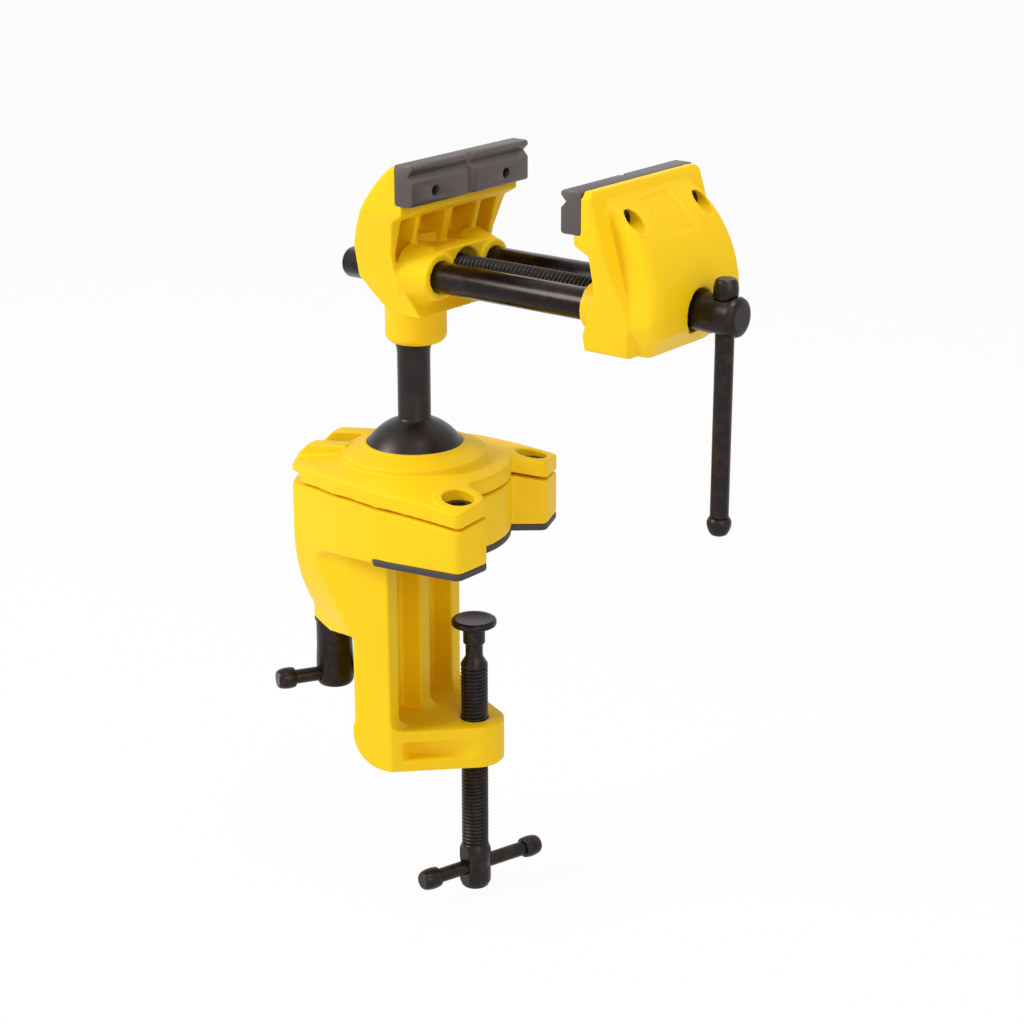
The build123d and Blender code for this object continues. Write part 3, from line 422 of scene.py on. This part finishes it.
def easeEdges(piece, width, segments=2, bend=30):  # small even rounding where faces bend by more degrees
    bevel = piece.modifiers.new("ease", "BEVEL")
    bevel.width = width * millimetre
    bevel.segments = segments
    bevel.limit_method = "ANGLE"
    bevel.angle_limit = math.radians(bend)
    applyModifiers(piece)
    keepCreases(piece)


def roundEdges(bm, edges, width, segments):
    bmesh.ops.bevel(bm, geom=edges, offset=width, offset_type="OFFSET", affect="EDGES", segments=segments,
                    profile=0.5, material=-1, clamp_overlap=True)


# how many steps a turned shape has around
plainSteps = 64
fineSteps = 96
ballSteps = 128


def latheInto(bm, outline, steps=plainSteps, weld=0.0005):  # outline is (radius, height), turned about z
    verts = [bm.verts.new((radius, 0, height)) for radius, height in outline]
    edges = [bm.edges.new(pair) for pair in zip(verts, verts[1:])]
    before = set(bm.faces)
    bmesh.ops.spin(bm, geom=verts + edges, cent=(0, 0, 0), axis=(0, 0, 1), angle=math.tau, steps=steps,
                   use_merge=True, use_duplicate=False)
    turned = list(dict.fromkeys(vert for face in bm.faces if face not in before for vert in face.verts))
    bmesh.ops.remove_doubles(bm, verts=turned, dist=weld)
    bmesh.ops.recalc_face_normals(bm, faces=[face for face in bm.faces if face not in before])


def lathed(outline, steps=plainSteps):
    bm = bmesh.new()
    latheInto(bm, outline, steps)
    return bm


def drum(radius, low, high):  # outline of a plain cylinder
    return [(0, low), (radius, low), (radius, high), (0, high)]


def ring(inner, outer, low, high, edge):  # outline of a washer whose outer edges are taken off
    return [(inner, low), (outer - edge, low), (outer, low + edge), (outer, high - edge),
            (outer - edge, high), (inner, high), (inner, low)]


# the three points of a rounding of size soft; the middle one's place is given in shares of that size
def footCorner(radius, low, soft, inward=0.3, upward=0.3):
    return [(radius - soft, low), (radius - inward * soft, low + upward * soft), (radius, low + soft)]


def topCorner(radius, high, soft, share=0.3):
    return [(radius, high - soft), (radius - share * soft, high - share * soft), (radius - soft, high)]


def barAlongZ(radius, reach, sides=48):  # it reaches as far up as down from the origin
    bm = bmesh.new()
    bmesh.ops.create_cone(bm, cap_ends=True, segments=sides, radius1=radius, radius2=radius,
                          depth=2 * reach)
    return bm


# one turn of a thread: (share of the pitch, share of the depth), from root to crest and back
threadShape = ((0.0, 0.0), (0.10, 0.0), (0.42, 0.94), (0.5, 1.0), (0.58, 0.94), (0.90, 0.0), (1.0, 0.0))


def threadInto(bm, radius, low, high, thread, steps=36, weld=0.002, touch=0.0001):
    pitch, depth = thread["pitch"], thread["depth"]
    turns = math.ceil((high - low) / pitch) + 2
    outline = [(radius - depth + depth * lift, low + pitch * (share - 1)) for share, lift in threadShape]
    verts = [bm.verts.new((r, 0, z)) for r, z in outline]
    edges = [bm.edges.new(pair) for pair in zip(verts, verts[1:])]
    bmesh.ops.spin(bm, geom=verts + edges, cent=(0, 0, 0), axis=(0, 0, 1), angle=math.tau * turns,
                   dvec=(0, 0, pitch / steps), steps=steps * turns, use_merge=False, use_duplicate=False)
    bmesh.ops.remove_doubles(bm, verts=bm.verts, dist=weld)
    for height, side in ((high, 1), (low, -1)):  # cut flat at both ends
        bmesh.ops.bisect_plane(bm, geom=bm.verts[:] + bm.edges[:] + bm.faces[:], dist=touch,
                               plane_co=(0, 0, height), plane_no=(0, 0, side), clear_outer=True)
    bmesh.ops.holes_fill(bm, edges=bm.edges, sides=0)
    bmesh.ops.recalc_face_normals(bm, faces=bm.faces)


def prism(outline, half):  # outline of (x, z), drawn out to both sides along y
    bm = bmesh.new()
    side = bm.faces.new([bm.verts.new((x, -half, z)) for x, z in outline])
    pulled = bmesh.ops.extrude_face_region(bm, geom=[side])["geom"]
    bmesh.ops.translate(bm, verts=[item for item in pulled if isinstance(item, bmesh.types.BMVert)],
                        vec=(0, 2 * half, 0))
    bmesh.ops.recalc_face_normals(bm, faces=bm.faces)
    return bm


def nodeShape(node, weld=0.000002):  # a copy of the CAD's mesh in millimetres, its faces joined
    bm = bmesh.new()
    bm.from_mesh(nodes[node].data)
    bmesh.ops.remove_doubles(bm, verts=bm.verts, dist=weld)
    bmesh.ops.scale(bm, vec=(metre, metre, metre), verts=bm.verts)
    return bm


# castings: the CAD shape with the soft edges and inner corners of a die casting
castings = {
    "clamp_frame": {"body": "base", "grain": 0.62, "softness": 6, "kept": 0.55},
    "clamp_plate": {"body": "base", "grain": 0.42, "softness": 7, "kept": 0.8},
    "fixed_jaw": {"body": "head", "grain": 0.5, "softness": 7, "kept": 0.7},
    "moving_jaw": {"body": "slider", "grain": 0.5, "softness": 9, "kept": 0.85},
}

# the clamp plate's thin rim around the ball is cast solid and cut afterwards, so that it stays round
ballOpening = {"plug": 22.2, "plugLow": 38.5, "plugTop": 41.5, "ball": 24.06, "mouth": 20.6,
               "reach": 20.0, "creases": 40}

# what a casting loses at its outside: the fixed jaw's top lies under the jaw plate's, the moving jaw's
# upper corners are taken off, and a shallow panel lies between its two screw openings
trimSettings = {
    "fixed_top": {"height": 166.4, "back": -12.0, "front": 22.9, "half": 40.0, "above": 5.0},
    "corner": {"half": 37.5, "top": 168.0, "cut": 2.6, "from": 115.0, "reach": 9.0, "outside": 1.0},
    "panel": {"centre": (96.1, 122.56), "radius": 46.7, "depth": 0.8, "half": 9.6, "low": 35.4,
              "high": 58.8, "steps": 16, "outside": 3.0},
}


def fillRim(bm, s):
    filling = lathed(drum(s["plug"], s["plugLow"], s["plugTop"]))
    bmesh.ops.transform(filling, matrix=at(ballAt[0], 0, 0), verts=filling.verts)
    mesh = bpy.data.meshes.new("filling")
    filling.to_mesh(mesh)
    filling.free()
    bm.from_mesh(mesh)


def openForBall(piece, s):
    ball = bmesh.new()
    bmesh.ops.create_uvsphere(ball, u_segments=ballSteps, v_segments=ballSteps // 2, radius=s["ball"])
    cutAway(piece, ball, at(*ballAt))
    cutAway(piece, barAlongZ(s["mouth"], s["reach"] / 2), at(*ballAt) @ at(0, 0, s["reach"]))
    keepCreases(piece, s["creases"])


def trimFixedTop(piece, s):
    above = s["height"] + s["above"]
    outline = [(s["back"], s["height"]), (s["front"], s["height"]), (s["front"], above), (s["back"], above)]
    cutAway(piece, prism(outline, s["half"]), headFrame)


def trimMovingCorners(piece, s):
    beyond = s["outside"]
    out, cut, above = s["half"] + beyond, s["cut"] + beyond, s["top"] + beyond
    outline = [(out, above), (out - cut - beyond, above), (out, s["top"] - cut)]
    for turn in (90, -90):
        sideways = Matrix.Rotation(math.radians(turn), 4, "Z")
        cutAway(piece, prism(outline, s["reach"]), headFrame @ at(s["from"], 0, 0) @ sideways)


def sinkPanel(piece, s):
    step = (s["high"] - s["low"]) / s["steps"]
    angles = [math.radians(s["low"] + step * i) for i in range(s["steps"] + 1)]
    x, z = s["centre"]
    inner, outer = s["radius"] - s["depth"], s["radius"] + s["outside"]
    outline = [(x + inner * math.cos(a), z + inner * math.sin(a)) for a in angles]
    outline += [(x + outer * math.cos(a), z + outer * math.sin(a)) for a in reversed(angles)]
    cutAway(piece, prism(outline, s["half"]), headFrame)


def castPiece(node, settings):
    bm = nodeShape(node)
    if node == "clamp_plate":
        fillRim(bm, ballOpening)
    piece = finishPiece(node + "_casting", bm, baseFrame, settings["body"], castFinish, (node,))
    if node == "fixed_jaw":
        trimFixedTop(piece, trimSettings["fixed_top"])
    if node == "moving_jaw":
        trimMovingCorners(piece, trimSettings["corner"])
        sinkPanel(piece, trimSettings["panel"])
    softenPiece(piece, settings["grain"], settings["softness"], settings["kept"])
    if node == "clamp_plate":
        openForBall(piece, ballOpening)
    print(" ", node, "cast in", len(piece.data.polygons), "faces")


for castNode, castSettings in castings.items():
    castPiece(castNode, castSettings)
print("castings softened")


# dark pad under the frame's block: the CAD outline with rounded edges
padSettings = {
    "round": 0.7,
    "segments": 3,
    "flat": 1.0,  # degrees under which neighbours are one face
    "sharp": 60.0,  # degrees over which an edge is rounded
}


def benchPad(s):
    bm = nodeShape("bench_pad")
    bmesh.ops.dissolve_limit(bm, angle_limit=math.radians(s["flat"]), verts=bm.verts, edges=bm.edges)
    limit = math.radians(s["sharp"])
    sharp = [edge for edge in bm.edges if edge.is_manifold and edge.calc_face_angle(0) > limit]
    roundEdges(bm, sharp, s["round"], s["segments"])
    crispPiece("bench_pad_moulding", bm, baseFrame, "base", padFinish, ("bench_pad",))


benchPad(padSettings)


# screws in the two lugs: low cheese heads deep in their bores, with a hexagon socket
lugScrewSettings = {"x": 10.7, "side": 33.3, "foot": 26.46, "head": 6.4, "height": 2.4, "shank": 3.0,
                    "length": 18.0, "round": 0.6, "socket": 3.6, "socketDepth": 1.3, "ease": 0.12}


def lugScrews(s):
    for name, side, stands in (("near_lug_screw", -1, ("plate_screws",)), ("far_lug_screw", 1, ())):
        outline = [(0, -s["length"]), (s["shank"], -s["length"]), (s["shank"], 0), (s["head"], 0)]
        outline += topCorner(s["head"], s["height"], s["round"]) + [(0, s["height"])]
        spot = at(s["x"], side * s["side"], s["foot"])
        piece = finishPiece(name, lathed(outline), spot, "base", screwFinish, stands)
        cutAway(piece, barAlongZ(s["socket"], s["socketDepth"], 6), spot @ at(0, 0, s["height"]))
        easeEdges(piece, s["ease"])


lugScrews(lugScrewSettings)


# bolt that holds the plate's tail down, its washer and the long nut that the lock handle turns
lockSettings = {
    "x": -70.7,
    "headFoot": 28.9, "headHeight": 3.8, "flats": 13.0, "headEase": 0.15,
    "chamferDrop": 1.28, "beyond": 1.0,  # how far down the chamfer goes at this much beyond the corners
    "shank": 4.0, "shankFoot": -64.6,
    "washer": 8.6, "washerTop": -46.0, "washerFoot": -47.6, "washerRound": 0.3,
    "nut": 8.0, "nutFoot": -78.6, "nutRound": 2.5,
    "flare": 0.35, "flareFrom": 6.4, "flareTo": 12.8,  # the nut is wider up to here above the bar
    "barHeight": -73.1, "barHole": 3.25, "drill": 12.0,
    "yaw": 228.7, "grain": 0.3, "softness": 3,
}


def lockParts(s):
    spot = at(s["x"], 0, 0)
    corner = s["flats"] / math.sqrt(3)
    bm = barAlongZ(corner, s["headHeight"] / 2, 6)
    bmesh.ops.translate(bm, verts=bm.verts, vec=(0, 0, s["headFoot"] + s["headHeight"] / 2))
    bolt = finishPiece("tail_bolt", bm, spot, "base", screwFinish, ("lock_bolt",))
    flat, top = s["flats"] / 2, s["headFoot"] + s["headHeight"]
    outside, above = corner + s["beyond"], top + s["beyond"]
    collar = lathed([(flat, above), (flat, top), (outside, top - s["chamferDrop"]), (outside, above),
                     (flat, above)], fineSteps)
    cutAway(bolt, collar, spot)  # takes the corners off the hexagon
    easeEdges(bolt, s["headEase"])
    crispPiece("tail_bolt_shank", lathed(drum(s["shank"], s["shankFoot"], s["headFoot"])), spot, "base",
               screwFinish)
    edge = s["washerRound"]
    washer = ring(s["shank"] + edge, s["washer"], s["washerFoot"], s["washerTop"], edge)
    crispPiece("tail_washer", lathed(washer), spot, "base", screwFinish, ("lock_washer",))
    wide = s["nut"] + s["flare"]
    outline = [(0, s["nutFoot"])] + footCorner(wide, s["nutFoot"], s["nutRound"])
    outline += [(wide, s["barHeight"] + s["flareFrom"]), (s["nut"], s["barHeight"] + s["flareTo"]),
                (s["nut"], s["washerFoot"]), (0, s["washerFoot"])]
    nut = finishPiece("long_nut", lathed(outline, fineSteps), spot, "lock", screwFinish, ("lock_nut",))
    across = Matrix.Rotation(math.radians(s["yaw"]), 4, "Z") @ layAlongX
    cutAway(nut, barAlongZ(s["barHole"], s["drill"]), at(s["x"], 0, s["barHeight"]) @ across)
    softenPiece(nut, s["grain"], s["softness"])
    return at(s["x"], 0, s["barHeight"]) @ across


lockBarPlace = lockParts(lockSettings)


# sliding bars: a plain bar, with barrel ends pressed on
barSettings = {
    "lock_bar": {"body": "lock_handle", "bar": 3.2, "half": 27.0, "knob": 4.8, "length": 8.0},
    "clamp_bar": {"body": "clamp_handle", "bar": 3.2, "half": 31.5, "knob": 4.8, "length": 8.5},
    "jaw_bar": {"body": "main_handle", "bar": 3.7, "half": 51.0, "knob": 4.9, "length": 8.0},
}
barInKnob = 0.5  # the bar reaches this far into each end

# shares of the knob's radius and length, from the bar outwards
barrelShape = ((0.84, 0.0), (0.93, 0.05), (0.985, 0.25), (1.0, 0.42), (0.975, 0.62), (0.90, 0.84),
               (0.82, 0.94), (0.72, 1.0), (0.0, 1.0))
mushroomShape = ((0.84, 0.12), (0.90, 0.18), (0.975, 0.28), (1.0, 0.40), (0.97, 0.55), (0.87, 0.75),
                 (0.72, 0.92), (0.62, 0.98), (0.55, 1.0), (0.0, 1.0))


def slidingBar(name, s, place, lowerShape, upperShape):
    end = s["half"] - s["length"] + barInKnob
    crispPiece(name, lathed(drum(s["bar"], -end, end)), place, s["body"], screwFinish,
               (s["body"] + "_bar",))
    for label, shape, turn, stands in (("lower", lowerShape, turnOver, (s["body"] + "_knobs",)),
                                       ("upper", upperShape, baseFrame, ())):
        outline = [(0, shape[0][1] * s["length"])]
        outline += [(radius * s["knob"], share * s["length"]) for radius, share in shape]
        bm = lathed(outline)
        bmesh.ops.translate(bm, verts=bm.verts, vec=(0, 0, s["half"] - s["length"]))
        crispPiece(name + "_" + label + "_end", bm, place @ turn, s["body"], screwFinish, stands)


slidingBar("lock_bar", barSettings["lock_bar"], lockBarPlace, barrelShape, barrelShape)
print("lock and its bar made")


# clamp screw: swivel disc, neck, thread and the forged hub that the bar slides in
clampSettings = {
    "discTop": -35.0, "disc": 9.8, "discThick": 4.2,
    "discFoot": 1.2,  # the disc's underside is this much wider than the collar
    "lip": 1.1,
    "underRim": ((0.7, 1.3), (0.15, 1.55), (0.0, 1.9)),  # (mm in from the rim, lips up from the underside)
    "overRim": ((0.0, 0.8), (0.2, 0.35), (0.7, 0.0)),  # (mm in from the rim, lips down from the top)
    "hollow": 0.3, "hollowFrom": 2.2, "hollowTo": 3.2,
    "collar": 4.8, "collarFoot": -46.2, "collarRound": 0.4,
    "neck": 3.8, "neckFoot": -52.7, "neckFlare": 0.5, "neckDrop": 0.4, "neckRise": 0.6,
    "screw": 6.0, "threadTop": -55.7, "thread": {"pitch": 1.75, "depth": 0.85},
    "threadUnder": 0.5, "threadInHub": 1.0, "plain": 5.9, "plainLength": 1.2,
    "hubTop": -141.7, "hubFoot": -163.7, "hub": 7.0, "hubRound": 3.4, "hubNeck": 5.6,
    "shoulderIn": 0.15, "shoulderDown": 0.6,  # shares of the hub's rounding
    "hubWaist": 6.6, "waistFrom": -2, "waistAt": 1, "waistTo": 4,
    "barHeight": -153.2, "barHole": 3.3, "drill": 12.0, "yaw": 62.6, "shift": 3.0,
    "flat": 5.9, "flatBlock": 20.0, "grain": 0.3, "softness": 3, "creases": 50,
}


def swivelDisc(s):
    top, foot, lip = s["discTop"], s["discTop"] - s["discThick"], s["lip"]
    floor = top - s["hollow"]
    outline = [(0, foot), (s["collar"] + s["discFoot"], foot)]
    outline += [(s["disc"] - inward, foot + up * lip) for inward, up in s["underRim"]]
    outline += [(s["disc"] - inward, top - down * lip) for inward, down in s["overRim"]]
    outline += [(s["disc"] - s["hollowFrom"], top), (s["disc"] - s["hollowTo"], floor), (0, floor)]
    crispPiece("swivel_disc", lathed(outline, fineSteps), baseFrame, "pad", discFinish, ("swivel_pad",),
               s["creases"])
    soft = s["collarRound"]
    outline = [(0, s["collarFoot"]), (s["collar"] - soft, s["collarFoot"]),
               (s["collar"], s["collarFoot"] + soft), (s["collar"], foot), (0, foot)]
    crispPiece("swivel_collar", lathed(outline), baseFrame, "pad", discFinish)


def clampThread(s):
    bm = bmesh.new()
    threadInto(bm, s["screw"], s["hubTop"] - s["threadInHub"], s["threadTop"] - s["threadUnder"],
               s["thread"])
    plainFoot = s["threadTop"] - s["plainLength"]
    latheInto(bm, [(0, plainFoot), (s["plain"], plainFoot), (s["plain"], s["threadTop"]),
                   (s["neck"] + s["neckFlare"], s["neckFoot"] - s["neckDrop"]),
                   (s["neck"], s["neckFoot"] + s["neckRise"]), (s["neck"], s["collarFoot"]),
                   (0, s["collarFoot"])])
    crispPiece("clamp_thread", bm, baseFrame, "clamp", screwFinish, ("clamp_screw",), s["creases"])


def clampHub(s):
    soft, hub, high, middle = s["hubRound"], s["hub"], s["hubTop"], s["barHeight"]
    outline = [(0, s["hubFoot"])] + footCorner(hub, s["hubFoot"], soft)
    outline += [(hub, middle + s["waistFrom"]), (s["hubWaist"], middle + s["waistAt"]),
                (hub, middle + s["waistTo"]), (hub, high - soft),
                (hub - s["shoulderIn"] * soft, high - s["shoulderDown"] * soft), (s["hubNeck"], high),
                (0, high)]
    piece = finishPiece("clamp_hub", lathed(outline, fineSteps), baseFrame, "clamp", screwFinish)
    across = at(0, 0, middle) @ Matrix.Rotation(math.radians(s["yaw"]), 4, "Z") @ layAlongX
    cutAway(piece, barAlongZ(s["barHole"], s["drill"]), across)
    for side in (-1, 1):  # forging flats where the bar comes through
        bm = bmesh.new()
        bmesh.ops.create_cube(bm, size=s["flatBlock"])
        bmesh.ops.translate(bm, verts=bm.verts, vec=(0, 0, side * (s["flatBlock"] / 2 + s["flat"])))
        cutAway(piece, bm, across)
    softenPiece(piece, s["grain"], s["softness"])
    return across @ at(0, 0, s["shift"])


swivelDisc(clampSettings)
clampThread(clampSettings)
slidingBar("clamp_bar", barSettings["clamp_bar"], clampHub(clampSettings), barrelShape, barrelShape)
print("clamp screw and its bar made")


# ball turned in one piece with its post, and a flared shoulder that the head stands on
ballSettings = {
    "ball": 24.0, "arcSteps": 28,
    "post": 7.0, "root": 7.8, "rootBulge": 0.25, "rootHeight": 1.4, "rootShare": 0.45,
    "shoulder": 8.3, "flareFoot": 80.2, "shoulderAt": 85.5, "flareShares": (0.3, 0.55, 0.8, 1),
    "top": 108.1,
}


def ballWithPost(s):
    start = math.asin(s["root"] / s["ball"])
    dome = [start + (math.pi - start) * i / s["arcSteps"] for i in range(s["arcSteps"] + 1)]
    outline = [(s["ball"] * math.sin(a), ballAt[2] + s["ball"] * math.cos(a)) for a in reversed(dome)]
    outline[0] = (0, outline[0][1])
    rootFoot = outline[-1][1]
    rise, reach = s["shoulderAt"] - s["flareFoot"], s["shoulder"] - s["post"]
    outline += [(s["post"] + s["rootBulge"], rootFoot + s["rootShare"] * s["rootHeight"]),
                (s["post"], rootFoot + s["rootHeight"]), (s["post"], s["flareFoot"])]
    outline += [(s["post"] + reach * share * share, s["flareFoot"] + rise * share)
                for share in s["flareShares"]]
    outline += [(s["post"], s["shoulderAt"]), (s["post"], s["top"]), (0, s["top"])]
    crispPiece("ball_and_post", lathed(outline, ballSteps), headFrame, "post", ballFinish, ("ball_post",))


ballWithPost(ballSettings)


# polished guide rods with a rounded end at the back
rodSettings = {"radius": 6.35, "apart": 17.7, "height": 120.1, "back": -18.2, "front": 125.0, "round": 1.3,
               "roundIn": 0.35, "roundUp": 0.25}


def guideRod(name, side, node, s):
    outline = [(0, s["back"])] + footCorner(s["radius"], s["back"], s["round"], s["roundIn"], s["roundUp"])
    outline += [(s["radius"], s["front"]), (0, s["front"])]
    place = headFrame @ at(0, side * s["apart"], s["height"]) @ layAlongX
    crispPiece(name, lathed(outline, fineSteps), place, "slider", rodFinish, (node,))


guideRod("rod_left", 1, "left_guide_rod", rodSettings)
guideRod("rod_right", -1, "right_guide_rod", rodSettings)
print("ball and rods made")


# main screw: thread between the rods, and outside the moving jaw a tapered hub with a cross hole
mainSettings = {
    "height": 120.1, "back": -2.0,
    "screw": 6.0, "threadEnd": 112.4, "thread": {"pitch": 2.0, "depth": 0.95},
    "plain": 5.95, "plainUnder": 0.2, "plainStart": 5.05, "plainRise": 0.6,
    "clip": 5.2, "clipFrom": 114.5, "clipTo": 115.9,
    "hubBack": 134.5, "hubBackRadius": 6.9, "hubBackEdge": 0.3,
    "hub": 8.0, "hubEnd": 161.0, "hubRound": 2.4,
    "handle": 153.5, "barHole": 3.75, "drill": 14.0, "spot": 5.2, "spotFloor": 6.32, "spotReach": 4.0,
    "barMiddle": 83.42,  # height of the bar's middle at rest, when its upper end sits on the hub
    "washerBack": 133.0, "washer": 8.0, "washerRound": 0.25, "grain": 0.3, "softness": 3, "creases": 50,
}


def mainScrew(s):
    lay = headFrame @ at(0, 0, s["height"]) @ layAlongX
    plain, start = s["plain"], s["threadEnd"] - s["plainUnder"]
    bm = bmesh.new()
    threadInto(bm, s["screw"], s["back"], s["threadEnd"], s["thread"])
    latheInto(bm, [(0, start), (s["plainStart"], start), (plain, s["threadEnd"] + s["plainRise"]),
                   (plain, s["clipFrom"]), (s["clip"], s["clipFrom"]), (s["clip"], s["clipTo"]),
                   (plain, s["clipTo"]), (plain, s["hubBack"]), (0, s["hubBack"])])
    crispPiece("jaw_thread", bm, lay, "screw", screwFinish, ("main_screw",), s["creases"])
    back, edge = s["hubBackRadius"], s["hubBackEdge"]
    outline = [(0, s["hubBack"]), (back - edge, s["hubBack"]), (back, s["hubBack"] + edge),
               (s["hub"], s["handle"])]
    outline += topCorner(s["hub"], s["hubEnd"], s["hubRound"]) + [(0, s["hubEnd"])]
    hub = finishPiece("jaw_screw_hub", lathed(outline, fineSteps), lay, "screw", screwFinish)
    upright = headFrame @ at(s["handle"], 0, s["height"])
    cutAway(hub, barAlongZ(s["barHole"], s["drill"]), upright)
    for side in (-1, 1):  # flat seats around the cross hole
        seat = at(0, 0, side * (s["spotFloor"] + s["spotReach"]))
        cutAway(hub, barAlongZ(s["spot"], s["spotReach"]), upright @ seat)
    softenPiece(hub, s["grain"], s["softness"])
    washer = ring(s["screw"], s["washer"], s["washerBack"], s["hubBack"], s["washerRound"])
    crispPiece("hub_ring", lathed(washer), lay, "screw", screwFinish, ("hub_washer",))
    return headFrame @ at(s["handle"], 0, s["barMiddle"])


slidingBar("jaw_bar", barSettings["jaw_bar"], mainScrew(mainSettings), mushroomShape, barrelShape)
print("main screw and its bar made")


# jaw plates: ground steel bars with a V groove along the face, one across it and two screw holes
plateSettings = {
    "fixedBack": 22.8, "movingBack": 112.6, "thick": 8.9, "low": 151.5, "high": 168.0, "half": 37.5,
    "grooveAt": 163.7, "grooveHalf": 2.4, "grooveDepth": 2.3,
    "crossHalf": 2.6, "crossDepth": 3.1, "beyond": 1.0,
    "hole": 2.2, "holeSide": 22.8, "holeAt": 156.4, "holeDepth": 3.0,
    "outerRound": 1.3, "roundSteps": 4, "edge": 0.28, "touch": 0.01,
}


def jawPlate(name, node, body, place, s):
    face, low, high, groove = s["thick"], s["low"], s["high"], s["grooveAt"]
    bm = prism([(0, low), (face, low), (face, groove - s["grooveHalf"]), (face - s["grooveDepth"], groove),
                (face, groove + s["grooveHalf"]), (face, high), (0, high)], s["half"])
    lengthwise = [edge for edge in bm.edges if abs(edge.verts[0].co.y - edge.verts[1].co.y) > s["half"]]
    outer = [edge for edge in lengthwise
             if min(abs(edge.verts[0].co.z - low), abs(edge.verts[0].co.z - high)) < s["touch"]]
    roundEdges(bm, outer, s["outerRound"], s["roundSteps"])
    piece = finishPiece(name, bm, place, body, jawFinish, (node,))
    mouth = s["crossHalf"] / s["crossDepth"] * (s["crossDepth"] + s["beyond"])
    notch = prism([(face - s["crossDepth"], 0), (face + s["beyond"], -mouth), (face + s["beyond"], mouth)],
                  (high - low) / 2 + s["beyond"])
    upright = at(0, 0, (low + high) / 2) @ Matrix.Rotation(math.radians(90), 4, "X")
    cutAway(piece, notch, place @ upright)
    for y in (-s["holeSide"], s["holeSide"]):
        cutAway(piece, barAlongZ(s["hole"], s["holeDepth"]), place @ at(face, y, s["holeAt"]) @ layAlongX)
    easeEdges(piece, s["edge"])


jawPlate("jaw_bar_fixed", "fixed_jaw_plate", "head", headFrame @ at(plateSettings["fixedBack"], 0, 0),
         plateSettings)
jawPlate("jaw_bar_moving", "moving_jaw_plate", "slider",
         headFrame @ at(plateSettings["movingBack"], 0, 0) @ turnAbout, plateSettings)
print("jaw plates made")
